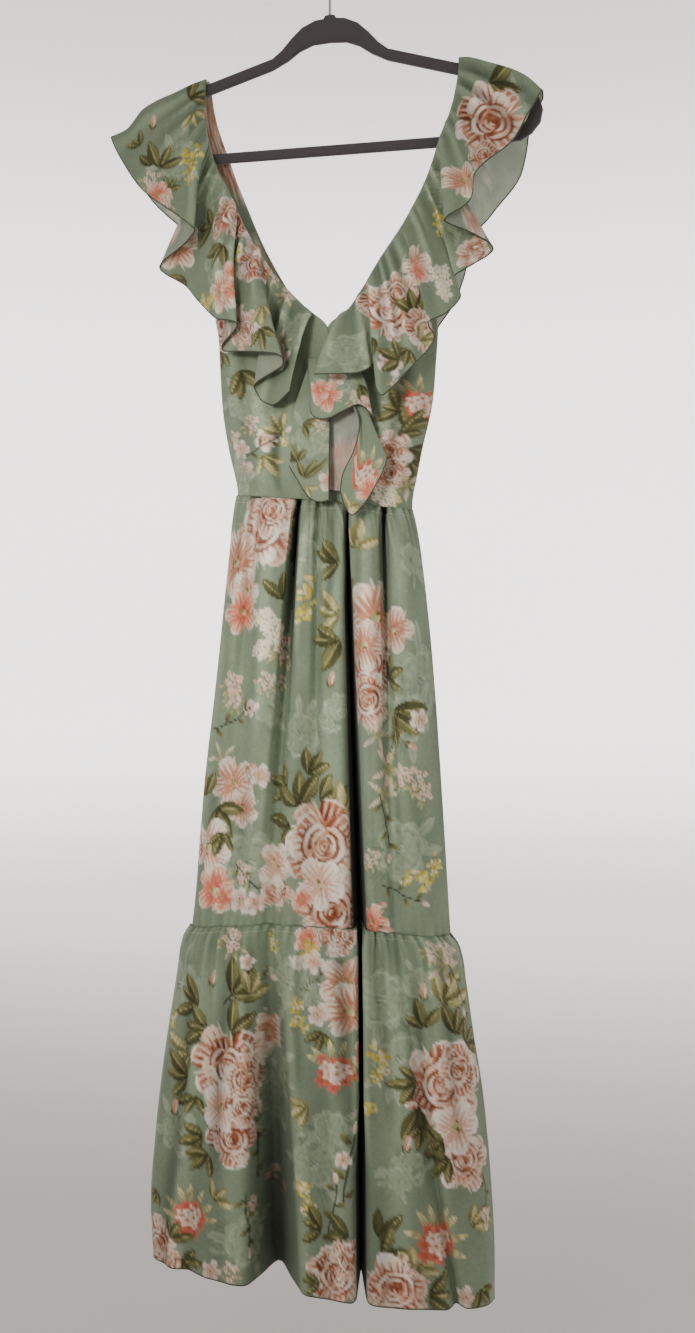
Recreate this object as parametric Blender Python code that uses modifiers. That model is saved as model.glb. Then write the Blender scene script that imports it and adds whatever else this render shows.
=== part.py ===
"""Ruffled two-tier dress hung by its straps on a grey flocked hanger.

Millimetres below, metres in the scene, +Z up. +X is the picture's right and -Y the front.
The origin is the inside of the hook's top, where the hanger hangs on a rail.
Every cloth piece is an open surface, worked out from the tables below, with a thin wall.
"""
import math

import bmesh
import bpy

MM = 0.001
WALL = 1.2
RUFFLE_WALL = 1.0
SEAM_GAP = 0.4
SIDE_SEAM = 1.5
LAY_OFF = 2.4
ARM_CLEAR, ARM_NEAR = 7.0, 2.4
RIDGE_HALF = 1.3
RIDGE_RISE = 4.2
RIDGE_LOW = 2.6
RIDGE_END_SLOPE = 0.07
STRAP_END, RIDGE_FALL = 156.0, 14.0
SHOULDER_STEP = 0.8
VIEW_LEAN = -0.21

# Hanger, half outline at +X. Arms fall at SLOPE from the arch to the rounded ends.
HANGER_THICK = 6.0
ARCH_Z = -75.0
ARM_X, ARM_Z, SLOPE, BEND_X = 146.0, -140.6, 0.294, 185.0
END_X, END_Z = 226.0, -228.0
HANGER_OUTER = [
    (0, -75), (5, -75.5), (7, -78.9), (16, -79.8), (30, -86), (42, -97), (52, -108), (62, -115.9),
    (185, -152.1), (199, -159), (211, -168), (219, -180), (222.5, -192), (220, -205), (211, -216),
    (200, -222), (188, -223), (0, -223),
]
HANGER_INNER = [
    (0, -104.4), (18, -105.5), (32, -111), (45, -120), (62, -128.5), (184, -164.4), (197, -171),
    (207, -181), (209.5, -192), (205, -203), (196, -210), (188, -212), (0, -212),
]
HOOK_WIRE = 3.2
HOOK_RADIUS = 24.0
HOOK_STEM_TOP = -58.0
HOOK_SWEEP = (-60.0, 206.0)

# Bodice, from the shoulder down: middle and half width of its plan, then its depths.
# z, middle x, half width, front centre y, front side y, back side y, back centre y
BODICE = [
    (-139, 2, 176, -4.9, -4.9, 4.9, 4.9),
    (-200, 0, 174, -12, -8, 7, 9),
    (-264, 0, 168, -22, -11, 9, 15),
    (-338, -1, 150, -31, -11, 8, 20),
    (-380, -2, 130, -35, -8, 2, 23),
    (-401, -2.5, 119, -37, -5.5, -2.5, 24),
    (-479, -2.5, 113.5, -41, -7.5, -4.5, 27),
    (-532, -3.5, 103.5, -46, -9.5, -6.5, 30),
    (-562, -3.5, 97, -51, -10.5, -7.5, 32),
    (-580, -4, 93.5, -48, -11.5, -8.5, 28),
    (-600, -4, 93, -45, -11.5, -8.5, 25),
]
# Inner edges of the V: z, left x, right x for the front, and the same for the back.
NECK_FRONT = [
    (-139, -134, 137), (-177, -134, 134), (-218, -125, 119), (-264, -102, 104), (-306, -82, 83),
    (-345, -57, 58), (-379, -29, 38), (-398, -8, 24), (-411, 5, 7),
]
NECK_BACK = [
    (-139, -133, 136), (-177, -127, 129), (-208, -117, 118), (-260, -97, 101), (-310, -76, 81),
    (-360, -48, 53), (-400, -18, 24), (-424, 5, 7),
]
# Outer edges of the strap and the armhole down to the underarm: z, left x, right x.
ARMHOLE = [
    (-139, -154, 156), (-184, -154, 152), (-221, -144, 138), (-264, -126, 124), (-305, -113, 110),
    (-350, -110, 106), (-380, -116, 108), (-401, -126, 117),
]
# Strap: it lies on the arm by two rows, each with its y and its height over the arm, and its
# rows turn from the arm's slope to level between STRAP_LOW_Z and STRAP_BLEND above it.
SHOULDER_Z, UNDERARM_Z = -139.0, -401.0
STRAP_OVER_ARM = ((0.2, 1.7), (4.2, 1.5))
STRAP_LOW_Z, STRAP_BLEND = -240.0, 95.0
CENTRE_X = 6.0
WAIST_Z, WAIST_TILT = -590.0, -0.1
BODICE_ROWS = (-153, -172, -196, -224, -256, -290, -325, -360, -390, -411, -445, -490, -535, -562, -580)
BODICE_COLUMNS, COLUMN_CROWD = 9, 1.35
BODICE_GATHER, GATHER_TOP_Z, GATHER_DROP = 1.7, -545.0, 45.0

# Skirt sections, from the waist down: z, left x, right x, side y, front y, back y.
UPPER = [
    (-590, -97, 89, -10, -45, 25),
    (-612, -102, 95, -10, -50, 28),
    (-700, -112, 106, -10, -54, 30),
    (-795, -122, 114, -10, -56, 32),
    (-950, -139, 124, -11, -60, 35),
    (-1034, -147, 129, -11, -61, 36),
]
LOWER = [
    (-1034, -147, 129, -11, -61, 36),
    (-1046, -156, 139, -11, -64, 39),
    (-1110, -168, 149, -11, -64, 40),
    (-1180, -179, 161, -11, -64, 41),
    (-1270, -189, 170, -11, -65, 42),
    (-1345, -194, 174, -10, -66, 42),
    (-1393, -190, 174, -10, -66, 42),
]
TIER_Z, TIER_ARCH = -1034.0, 12.0
TIER_MIDDLE, TIER_HALF = -11.0, 140.0
HEM_Z, HEM_TILT = -1393.0, -0.05
UPPER_DROPS = (0, 9, 26, 60, 110, 180, 260, 345)
LOWER_DROPS = (0, 7, 20, 46, 95, 165, 245, 315)
GATHER, GATHER_FADE = 2.3, 34.0
PLAN_POWER, EDGE_ROOM = 2.4, 6.0

# Folds of the front tiers. A fold sinks into the panel by its depth, from its top to its foot.
# name, x at the top, x at the foot, half width at both, depth at both
UPPER_FRONT_FOLDS = [
    ("side_pleat", -68, -108, 6, 9, 13, 3),
    ("left_groove", -23, -50, 3.6, 13, 34, 13),
    ("short_pleat", 0, -4, 4.5, 7, 12, 2),
    ("deep_groove", 27, 44, 3.4, 6.6, 42, 66),
    ("right_groove", 65, 80, 3.6, 6, 28, 4),
]
UPPER_BACK_FOLDS = [
    ("back_pleat_right", 58, 82, 6, 12, 16, 5),
    ("back_middle", 8, 14, 6, 14, 17, 9),
    ("back_pleat_left", -48, -72, 6, 13, 18, 6),
]
LOWER_FRONT_FOLDS = [
    ("left_crease", -108, -140, 9, 15, 3, 9),
    ("wide_valley", -50, -42, 13, 21, 13, 76),
    ("long_groove", 44, 47, 4.4, 4.2, 66, 80),
    ("right_edge", 80, 141, 6, 7, 4, 15),
]
LOWER_BACK_FOLDS = [
    ("back_wave_right", 82, 104, 12, 17, 5, 22),
    ("back_wave_middle", 14, 26, 14, 17, 9, 26),
    ("back_wave_left", -72, -84, 13, 17, 6, 24),
]
FOLD_STEPS = (-2.1, -1.35, -0.75, 0.0, 0.75, 1.35, 2.1)
FOLD_NARROW = 1.25
FILL_SPACING = 17.0

# Ruffles. Each row is where a wave starts on the neck edge and where its hem hangs. Where the
# hem turns back, the layer in front has the greatest lift, and the one that comes last the least.
# name, z on the neck edge, hem x, hem z, lift off the bodice at the hem
RUFFLE_LEFT = [
    ("flap_a", -152, -226, -214, 4), ("flap_b", -168, -198, -253, 11), ("flap_c", -184, -160, -283, 20),
    ("flap_end", -197, -135, -303, 28), ("flap_turn", -202, -136, -310, 23), ("turn_1", -210, -157, -322, 13),
    ("tip_1", -220, -178, -338, 7), ("under_1", -230, -152, -356, 2), ("side_2", -242, -136, -374, 12),
    ("crest_2", -256, -110, -399, 29), ("end_2", -268, -85, -408, 35), ("end_turn_2", -273, -86, -415, 29),
    ("turn_2", -281, -104, -425, 18), ("fold_2", -290, -104, -431, 12), ("crest_3", -302, -72, -438, 27),
    ("crest_4", -319, -36, -446, 37), ("crest_turn_4", -328, -33, -456, 30), ("turn_4", -339, -55, -464, 19),
    ("fold_4", -351, -69, -471, 10), ("under_4", -366, -62, -484, 4), ("crest_5", -382, -46, -492, 14),
    ("end_5", -397, -26, -483, 30),
]
RUFFLE_RIGHT = [
    ("flap_a", -150, 211, -197, 4), ("flap_b", -164, 193, -231, 11), ("flap_c", -177, 170, -252, 20),
    ("curl_1", -190, 158, -268, 27), ("crest_1", -202, 154, -296, 33), ("flap_end", -213, 132, -314, 38),
    ("flap_turn", -218, 133, -319, 33), ("turn_1", -225, 155, -326, 21), ("tip_2", -234, 175, -341, 13),
    ("under_2", -244, 148, -356, 6), ("fold_3", -256, 134, -366, 5), ("tip_3", -270, 142, -385, 10),
    ("crest_3", -284, 128, -404, 20), ("end_3", -298, 112, -416, 33), ("turn_3", -312, 116, -430, 20),
    ("crest_4", -330, 96, -458, 26), ("end_4", -350, 69, -491, 42), ("notch_4", -367, 60, -458, 27),
    ("crest_5", -384, 48, -468, 40), ("end_5", -400, 4, -470, 46),
]
RUFFLE_BACK_LEFT = [
    ("flap_a", -152, -226, -216, 4), ("flap_b", -172, -202, -252, 12), ("curl_1", -192, -168, -284, 24),
    ("crest_1", -210, -148, -312, 32), ("notch_1", -226, -152, -328, 20), ("tip_1", -242, -156, -350, 12),
    ("crest_2", -262, -134, -380, 26), ("end_2", -282, -112, -398, 34), ("notch_2", -302, -108, -414, 24),
    ("crest_3", -324, -92, -436, 36), ("notch_3", -346, -78, -448, 20), ("crest_4", -368, -56, -470, 38),
    ("notch_4", -388, -38, -480, 22), ("end_4", -408, -14, -494, 34),
]
RUFFLE_BACK_RIGHT = [
    ("flap_a", -152, 208, -205, 4), ("flap_b", -170, 197, -250, 12), ("curl_1", -190, 168, -282, 20),
    ("crest_1", -208, 146, -302, 32), ("notch_1", -224, 140, -326, 22), ("tip_1", -242, 138, -350, 14),
    ("crest_2", -262, 124, -378, 26), ("end_2", -284, 108, -398, 34), ("notch_2", -304, 102, -416, 24),
    ("crest_3", -326, 88, -438, 36), ("notch_3", -348, 76, -452, 20), ("crest_4", -370, 60, -474, 38),
    ("notch_4", -392, 42, -482, 24), ("end_4", -410, 20, -496, 36),
]
TIP_LEFT = (-240, -184)
TIP_RIGHT = (222, -173)
RUFFLE_ROWS = (0.0, 0.12, 0.32, 0.54, 0.68, 0.82, 1.0)
RUFFLE_STEPS = 3
RUFFLE_FLARE, LIFT_LEAST = 2.2, 0.6
RUFFLE_SIDE = 0.93

# Flounce at the point of the V. name, x and y at the top, x, z and y at the hem, swing
FLOUNCE_TOP_Z = -446.0
FLOUNCE_ROWS = (0, 0.25, 0.55, 0.8, 1.0)
FLOUNCE_STEPS, FLOUNCE_SWELL = 3, 5.0
STRIP_EASE = 0.8
FLOUNCE_CENTRE = [
    ("left_edge", -12, -49, -8, -478, -54.3, 0), ("left_crest", -4, -51, -4, -505, -66, 0),
    ("middle_left", 6, -49, 12, -511, -71, 0), ("dip", 18, -49.6, 29, -503, -67, 0),
    ("right_crest", 28, -49, 45, -497, -64, 2), ("right_end", 38, -49.5, 58, -509, -61, 2),
]
# Cascade under it: one strip whose plan is a bell open at the front.
# name, x and y at the top, x, z and y at the hem, how far it swings out to +X half way down
CASCADE_TOP_Z = -452.0
CASCADE_ROWS = (0, 0.2, 0.45, 0.7, 0.88, 1.0)
CASCADE_STEPS, CASCADE_SWELL = 2, 2.0
CASCADE = [
    ("left_free_edge", 12, -46.6, 14, -592, -67, 0), ("left_front", 0, -46.2, -4, -591, -67, -2),
    ("left_fold", -12, -45.4, -28, -556, -60, -5), ("left_back", -7, -43.8, -10, -574, -54, -3),
    ("back_middle", 9, -43.2, 20, -582, -52.5, 0), ("right_back", 24, -43.6, 50, -576, -53.5, 5),
    ("right_fold", 34, -45.0, 71, -552, -57, -4), ("right_front", 25, -46.6, 59, -582, -65, 8),
    ("right_tip", 21, -48.2, 38, -608, -70, 17), ("right_free_edge", 17, -49.8, 27, -584, -73, 23),
]


def clear_scene():
    """Remove whatever the file starts with."""
    for item in list(bpy.data.objects):
        bpy.data.objects.remove(item, do_unlink=True)


def material(name, colour, roughness, metallic=0.0):
    """Plain surface with the piece's own colour."""
    made = bpy.data.materials.new(name)
    made.use_nodes = True
    shader = made.node_tree.nodes["Principled BSDF"]
    shader.inputs["Base Color"].default_value = (*colour, 1.0)
    shader.inputs["Roughness"].default_value = roughness
    shader.inputs["Metallic"].default_value = metallic
    return made


def mix(a, b, t):
    return a + (b - a) * t


def lookup(table, key, column):
    """Smooth value of a column at a key of the table's falling first column."""
    if key >= table[0][0]:
        return table[0][column]
    if key <= table[-1][0]:
        return table[-1][column]
    last = len(table) - 1
    i = next(n for n in range(last) if table[n + 1][0] <= key)
    before, low, high, after = (table[max(0, min(last, n))] for n in (i - 1, i, i + 1, i + 2))
    step = high[0] - low[0]
    t = (key - low[0]) / step
    slope_low = (high[column] - before[column]) / (high[0] - before[0]) * step
    slope_high = (after[column] - low[column]) / (after[0] - low[0]) * step
    return hermite(low[column], high[column], slope_low, slope_high, t)


def hermite(a, b, slope_a, slope_b, t):
    t2, t3 = t * t, t * t * t
    return (a * (2 * t3 - 3 * t2 + 1) + slope_a * (t3 - 2 * t2 + t)
            + b * (3 * t2 - 2 * t3) + slope_b * (t3 - t2))


def refine(points, steps):
    """Points along the smooth curve through the given ones."""
    last = len(points) - 1
    found = []
    for i in range(last):
        before, low, high, after = (points[max(0, min(last, n))] for n in (i - 1, i, i + 1, i + 2))
        for k in range(steps):
            t = k / steps
            found.append(tuple(hermite(low[c], high[c], (high[c] - before[c]) / 2,
                                       (after[c] - low[c]) / 2, t) for c in range(len(low))))
    found.append(points[-1])
    return found


def uneven(n):
    """Steady uneven number from 0.45 to 1 for the n-th gather."""
    return 0.45 + 0.55 * abs(math.sin(n * 2.3 + 0.7))


def arm_top(x):
    """Height of the hanger's upper edge at x."""
    x = abs(x)
    if x <= BEND_X:
        return ARM_Z - (x - ARM_X) * SLOPE
    rim = [(px, pz) for px, pz in HANGER_OUTER if px >= BEND_X][:5]
    for (x0, z0), (x1, z1) in zip(rim, rim[1:]):
        if x <= x1:
            return mix(z0, z1, (x - x0) / (x1 - x0))
    return rim[-1][1]


def cloth(name, grid, colour, wall=WALL):
    """Open surface through rows of points in mm, given a wall behind its outer face."""
    rows, columns = len(grid), len(grid[0])
    mesh = bpy.data.meshes.new(name)
    shape = bmesh.new()
    verts = [[shape.verts.new((x * MM, y * MM, z * MM)) for x, y, z in row] for row in grid]
    for i in range(rows - 1):
        for j in range(columns - 1):
            shape.faces.new((verts[i][j], verts[i + 1][j], verts[i + 1][j + 1], verts[i][j + 1]))
    shape.to_mesh(mesh)
    shape.free()
    mesh.shade_smooth()
    piece = bpy.data.objects.new(name, mesh)
    dress.objects.link(piece)
    shell = piece.modifiers.new("wall", "SOLIDIFY")
    shell.thickness = wall * MM
    shell.offset = -1.0
    piece.data.materials.append(material(name + "_cloth", colour, 0.85))
    return piece


def bodice_depth(x, z, side, limit=1.0):
    """Depth of the bodice's outer face: side is 'front' or 'back'. Past the limit it stays level."""
    middle = lookup(BODICE, z, 1)
    half = lookup(BODICE, z, 2)
    edge = lookup(BODICE, z, 4 if side == "front" else 5)
    centre = lookup(BODICE, z, 3 if side == "front" else 6)
    across = min(limit, abs(x - middle) / half)
    return edge + (centre - edge) * math.sqrt(1.0 - across * across)


def strap_row(z, x):
    """Height of a bodice point: level rows low down, rows along the arm's slope on the strap."""
    lift = max(0.0, min(1.0, (z - STRAP_LOW_Z) / STRAP_BLEND))
    return z + (arm_top(x) - ARM_Z) * lift


def waist_height(x):
    return WAIST_Z + WAIST_TILT * x


def bodice_panel(name, side, inner_left, colour):
    """Half of the front or back: rows from the arm of the hanger to the waist."""
    neck = NECK_FRONT if side == "front" else NECK_BACK
    away = -1.0 if side == "front" else 1.0
    count = BODICE_COLUMNS
    column = 1 if inner_left else 2
    sign = -1 if inner_left else 1
    grid = []
    for over_y, over_z in STRAP_OVER_ARM:
        row = []
        for c in range(count):
            x = mix(lookup(ARMHOLE, SHOULDER_Z, column), lookup(neck, SHOULDER_Z, column), c / (count - 1))
            row.append((x, away * over_y, arm_top(x) + over_z))
        grid.append(row)
    low = neck[-1][0]
    for z in BODICE_ROWS + (WAIST_Z,):
        row = []
        for c in range(count):
            if z > UNDERARM_Z:
                outer = lookup(ARMHOLE, z, column)
            else:
                outer = lookup(BODICE, z, 1) + sign * lookup(BODICE, z, 2)
            inner = lookup(neck, z, column) if z > low else CENTRE_X + sign * SEAM_GAP / 2
            t = c / (count - 1)
            x = mix(outer, inner, t if z > UNDERARM_Z else 1 - (1 - t) ** COLUMN_CROWD)
            drop = max(0.0, (GATHER_TOP_Z - z) / GATHER_DROP)
            height = mix(strap_row(z, x), strap_row(z, x) + WAIST_TILT * x, drop)
            depth = bodice_depth(x, z, side)
            if 0 < c < count - 1:
                depth += away * BODICE_GATHER * (1 if c % 2 else -1) * uneven(c) * drop
            row.append((x, depth, height))
        grid.append(row)
    if inner_left == (side == "back"):
        grid = [row[::-1] for row in grid]
    return cloth(name, grid, colour)


def fold_places(folds, t):
    """Columns of every fold at a share t of the tier's drop: x, and which fold it belongs to."""
    places = []
    for k, (_, x_top, x_foot, half_top, half_foot, _, _) in enumerate(folds):
        x = mix(x_top, x_foot, t)
        half = mix(half_top, half_foot, t)
        places += [(x + step * half, k, step) for step in FOLD_STEPS]
    return places


def tier_panel(name, side, sections, folds, drops, top_z, foot_z, gathers, colour):
    """Front or back of a tier, between its side seams, following its folds."""
    away = -1.0 if side == "front" else 1.0
    order = sorted(folds, key=lambda fold: fold[1])
    edges = [(order[k][1] + FOLD_STEPS[-1] * order[k][3], order[k + 1][1] + FOLD_STEPS[0] * order[k + 1][3])
             for k in range(len(order) - 1)]
    left_top, right_top = sections[1][1], sections[1][2]
    spans = ([order[0][1] + FOLD_STEPS[0] * order[0][3] - left_top]
             + [high - low for low, high in edges]
             + [right_top - order[-1][1] - FOLD_STEPS[-1] * order[-1][3]])
    fills = [max(1, round(span / FILL_SPACING)) for span in spans]
    grid = []
    length = max(abs(foot_z(0) - top_z(0)), 1.0)
    for drop in drops + (length,):
        share = drop / length
        level = mix(sections[0][0], sections[-1][0], share)
        left, right = lookup(sections, level, 1), lookup(sections, level, 2)
        side_y, face_y = lookup(sections, level, 3), lookup(sections, level, 4 if side == "front" else 5)
        places = fold_places(order, share)
        knots = [(left, None, 0)] + places + [(right, None, 0)]
        marks = []
        group = 0
        for a, b in zip(knots, knots[1:]):
            marks.append(a)
            if a[1] != b[1]:
                amount = fills[group]
                group += 1
                marks += [(mix(a[0], b[0], m / (amount + 1)), None, 0) for m in range(1, amount + 1)]
        marks.append(knots[-1])
        middle, half = (left + right) / 2, (right - left) / 2
        row = []
        fade = math.exp(-drop / GATHER_FADE)
        for c, (x, _, _) in enumerate(marks):
            across = min(1.0, abs(x - middle) / half)
            y = side_y + (face_y - side_y) * (1.0 - across ** PLAN_POWER) ** (1 / PLAN_POWER)
            room = min(1.0, (1.0 - across) * EDGE_ROOM)
            if 0 < c < len(marks) - 1:
                y += away * gathers * fade * (1 if c % 2 else -1) * uneven(c) * room
            push = 0.0
            for _, x_top, x_foot, half_top, half_foot, deep_top, deep_foot in order:
                reach = (x - mix(x_top, x_foot, share)) / mix(half_top, half_foot, share)
                push += mix(deep_top, deep_foot, share) * math.exp(-reach * reach * FOLD_NARROW)
            push *= room
            if c in (0, len(marks) - 1):
                y = side_y + away * SIDE_SEAM
            row.append((x + VIEW_LEAN * push, y - away * push, mix(top_z(x), foot_z(x), share)))
        grid.append(row)
    if side == "back":
        grid = [row[::-1] for row in grid]
    return cloth(name, grid, colour)


def tier_height(x):
    """Seam between the tiers, a little higher in the middle."""
    across = min(1.0, abs(x - TIER_MIDDLE) / TIER_HALF)
    return TIER_Z + TIER_ARCH * (1.0 - across * across)


def hem_height(x):
    """Hem, a little lower at the right."""
    return HEM_Z + HEM_TILT * x


def ridge_rise(x):
    """How far a ruffle lies above the hanger's arm: over the strap, then straight on the arm."""
    past = max(0.0, min(1.0, (abs(x) - STRAP_END) / RIDGE_FALL))
    return mix(RIDGE_RISE, RIDGE_LOW, past) + max(0.0, abs(x) - BEND_X) * RIDGE_END_SLOPE


def clear_of_arm(point, away):
    """Move a ruffle point out of the hanger's arm and end, to its own side."""
    x, y, z = point
    if abs(x) < END_X and END_Z < z < arm_top(x) + ARM_NEAR:
        y = min(y, -ARM_CLEAR) if away < 0 else max(y, ARM_CLEAR)
    return x, y, z


def ruffle(name, side, neck, column, tip, waves, colour):
    """Flounce gathered on a neck edge: it lies over the hanger's arm, then waves down the V."""
    away = -1.0 if side == "front" else 1.0
    start_x = lookup(neck, SHOULDER_Z, column)
    hems = [(neck[0][0] - 3, tip[0], tip[1] - 3, 1.0)] + [row[1:] for row in waves]
    columns = refine(hems, RUFFLE_STEPS)
    ridge = []
    for t in RUFFLE_ROWS:
        x = mix(start_x, tip[0], t)
        line = mix(arm_top(start_x) + RIDGE_RISE, tip[1], t)
        ridge.append((x, away * RIDGE_HALF, max(line, arm_top(x) + ridge_rise(x))))
    strips = [ridge]
    for n, (z_neck, x_hem, z_hem, lift) in enumerate(columns):
        x_neck = lookup(neck, z_neck, column)
        z_start = strap_row(z_neck, x_neck)
        lift = max(LIFT_LEAST, lift)
        strip = []
        for t in RUFFLE_ROWS:
            x = mix(x_neck, x_hem, t)
            z = mix(z_start, z_hem, t)
            if n == 0:
                z = max(z, arm_top(x) + ridge_rise(x) - SHOULDER_STEP)
            rise = lift * (1 - (1 - t) ** RUFFLE_FLARE)
            y = bodice_depth(x, z, side, RUFFLE_SIDE) + away * (LAY_OFF + rise)
            strip.append((x, y, z) if n == 0 else clear_of_arm((x, y, z), away))
        if n == 0:
            strip = [(x, away * ARM_CLEAR, z) for x, y, z in strip]
        strips.append(strip)
    grid = [list(row) for row in zip(*strips)]
    if (column == 2) == (side == "front"):
        grid = [row[::-1] for row in grid]
    return cloth(name, grid, colour, RUFFLE_WALL)


def hanging_strip(name, table, top_z, colour, rows, steps, swell):
    """Strip gathered on a short level line, with its hem as tabled."""
    columns = refine([tuple(row[1:]) for row in table], steps)
    grid = []
    for t in rows:
        eased, half_way = t ** STRIP_EASE, math.sin(math.pi * t)
        out = swell * half_way
        grid.append([(mix(tx, hx, eased) + swing * half_way ** 2, mix(ty, hy, eased) - out, mix(top_z, hz, t))
                     for tx, ty, hx, hz, hy, swing in columns])
    return cloth(name, grid, colour)


def hanger():
    """Flat body cut to its outline, with the open triangle, and the bent wire hook."""
    curve = bpy.data.curves.new("hanger_frame", "CURVE")
    curve.dimensions = "2D"
    curve.fill_mode = "BOTH"
    curve.extrude = HANGER_THICK / 2 * MM
    for half in (HANGER_OUTER, HANGER_INNER):
        loop = [(-x, z) for x, z in half[::-1] if x > 0] + list(half)
        loop = loop[:-1] if half[-1][0] == 0 else loop
        spline = curve.splines.new("POLY")
        spline.points.add(len(loop) - 1)
        for point, (x, z) in zip(spline.points, loop):
            point.co = (x * MM, z * MM, 0, 1)
        spline.use_cyclic_u = True
    body = bpy.data.objects.new("hanger_frame", curve)
    body.rotation_euler = (math.radians(90), 0, 0)
    body.data.materials.append(material("grey_flock", (0.075, 0.072, 0.076), 0.95))
    dress.objects.link(body)

    wire = bpy.data.curves.new("hanger_hook", "CURVE")
    wire.dimensions = "3D"
    wire.bevel_depth = HOOK_WIRE / 2 * MM
    wire.bevel_resolution = 2
    wire.use_fill_caps = True
    centre_z = HOOK_WIRE / 2 - HOOK_RADIUS
    first, final = HOOK_SWEEP
    turns = 22
    route = [(0, ARCH_Z + 0.3), (0, -68), (0, HOOK_STEM_TOP), (4, -50)]
    for k in range(turns + 1):
        angle = math.radians(mix(first, final, k / turns))
        route.append((HOOK_RADIUS * math.cos(angle), centre_z + HOOK_RADIUS * math.sin(angle)))
    spline = wire.splines.new("POLY")
    spline.points.add(len(route) - 1)
    for point, (x, z) in zip(spline.points, route):
        point.co = (x * MM, 0, z * MM, 1)
    hook = bpy.data.objects.new("hanger_hook", wire)
    hook.data.materials.append(material("hook_steel", (0.6, 0.6, 0.6), 0.25, 1.0))
    dress.objects.link(hook)


def main():
    """Build every piece of the hanger and the dress."""
    hanger()
    sage = (0.27, 0.28, 0.20)
    pale = (0.30, 0.31, 0.23)
    bodice_panel("bodice_front_left", "front", True, sage)
    bodice_panel("bodice_front_right", "front", False, sage)
    bodice_panel("bodice_back_left", "back", True, sage)
    bodice_panel("bodice_back_right", "back", False, sage)
    seam = SEAM_GAP / 2
    for side, upper, lower in (("front", UPPER_FRONT_FOLDS, LOWER_FRONT_FOLDS),
                               ("back", UPPER_BACK_FOLDS, LOWER_BACK_FOLDS)):
        tier_panel("skirt_upper_" + side, side, UPPER, upper, UPPER_DROPS,
                   lambda x: waist_height(x) - SEAM_GAP, lambda x: tier_height(x) + seam, GATHER, sage)
        tier_panel("skirt_lower_" + side, side, LOWER, lower, LOWER_DROPS,
                   lambda x: tier_height(x) - seam, hem_height, GATHER, sage)
    ruffle("ruffle_left", "front", NECK_FRONT, 1, TIP_LEFT, RUFFLE_LEFT, pale)
    ruffle("ruffle_right", "front", NECK_FRONT, 2, TIP_RIGHT, RUFFLE_RIGHT, pale)
    ruffle("ruffle_back_left", "back", NECK_BACK, 1, TIP_LEFT, RUFFLE_BACK_LEFT, pale)
    ruffle("ruffle_back_right", "back", NECK_BACK, 2, TIP_RIGHT, RUFFLE_BACK_RIGHT, pale)
    hanging_strip("flounce_centre", FLOUNCE_CENTRE, FLOUNCE_TOP_Z, pale, FLOUNCE_ROWS,
                  FLOUNCE_STEPS, FLOUNCE_SWELL)
    hanging_strip("ruffle_cascade", CASCADE, CASCADE_TOP_Z, pale, CASCADE_ROWS,
                  CASCADE_STEPS, CASCADE_SWELL)


clear_scene()
dress = bpy.data.collections.new("ruffled_dress_on_hanger")
bpy.context.scene.collection.children.link(dress)
main()
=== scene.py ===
"""Looks of the ruffled two-tier dress on its flocked hanger.

The tables and shape functions are in millimetres and repeat the solids' own sizes. Each cloth
is then worked finer, creased, printed by brush marks and closed as a thin shell.
+X is the picture's right, -Y the front, +Z up. The origin is the inside of the hook's top.
"""
import math
import random

import bmesh
import bpy
import numpy as np
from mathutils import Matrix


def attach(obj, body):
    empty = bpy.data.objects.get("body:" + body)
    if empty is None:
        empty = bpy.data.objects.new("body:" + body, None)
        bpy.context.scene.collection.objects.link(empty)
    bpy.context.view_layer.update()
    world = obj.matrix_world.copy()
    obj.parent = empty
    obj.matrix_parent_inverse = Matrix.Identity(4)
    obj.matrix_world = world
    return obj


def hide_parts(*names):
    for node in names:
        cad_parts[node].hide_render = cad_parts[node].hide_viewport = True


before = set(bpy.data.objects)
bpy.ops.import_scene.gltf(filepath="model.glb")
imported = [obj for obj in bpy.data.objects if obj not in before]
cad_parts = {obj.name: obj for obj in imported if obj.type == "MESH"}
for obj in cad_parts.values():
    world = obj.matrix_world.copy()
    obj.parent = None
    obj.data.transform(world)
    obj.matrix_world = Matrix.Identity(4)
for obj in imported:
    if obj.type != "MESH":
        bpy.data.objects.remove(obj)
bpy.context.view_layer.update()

MM = 0.001
SEAM_GAP = 0.4
SIDE_SEAM = 1.5
LAY_OFF = 2.4
ARM_CLEAR, ARM_NEAR = 7.0, 2.4
RIDGE_HALF = 1.3
RIDGE_RISE = 4.2
RIDGE_LOW = 2.6
RIDGE_END_SLOPE = 0.07
STRAP_END, RIDGE_FALL = 156.0, 14.0
SHOULDER_STEP = 0.8
VIEW_LEAN = -0.21

# Hanger, half outline at +X. Arms fall at SLOPE from the arch to the rounded ends.
HANGER_THICK, HANGER_EDGE, HANGER_SHARP = 6.0, 2.4, 50
ARM_X, ARM_Z, SLOPE, BEND_X = 146.0, -140.6, 0.294, 185.0
END_X, END_Z = 226.0, -228.0
HANGER_OUTER = [
    (0, -75), (5, -75.5), (7, -78.9), (16, -79.8), (30, -86), (42, -97), (52, -108), (62, -115.9),
    (185, -152.1), (199, -159), (211, -168), (219, -180), (222.5, -192), (220, -205), (211, -216),
    (200, -222), (188, -223), (0, -223),
]
HANGER_INNER = [
    (0, -104.4), (18, -105.5), (32, -111), (45, -120), (62, -128.5), (184, -164.4), (197, -171),
    (207, -181), (209.5, -192), (205, -203), (196, -210), (188, -212), (0, -212),
]

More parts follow.
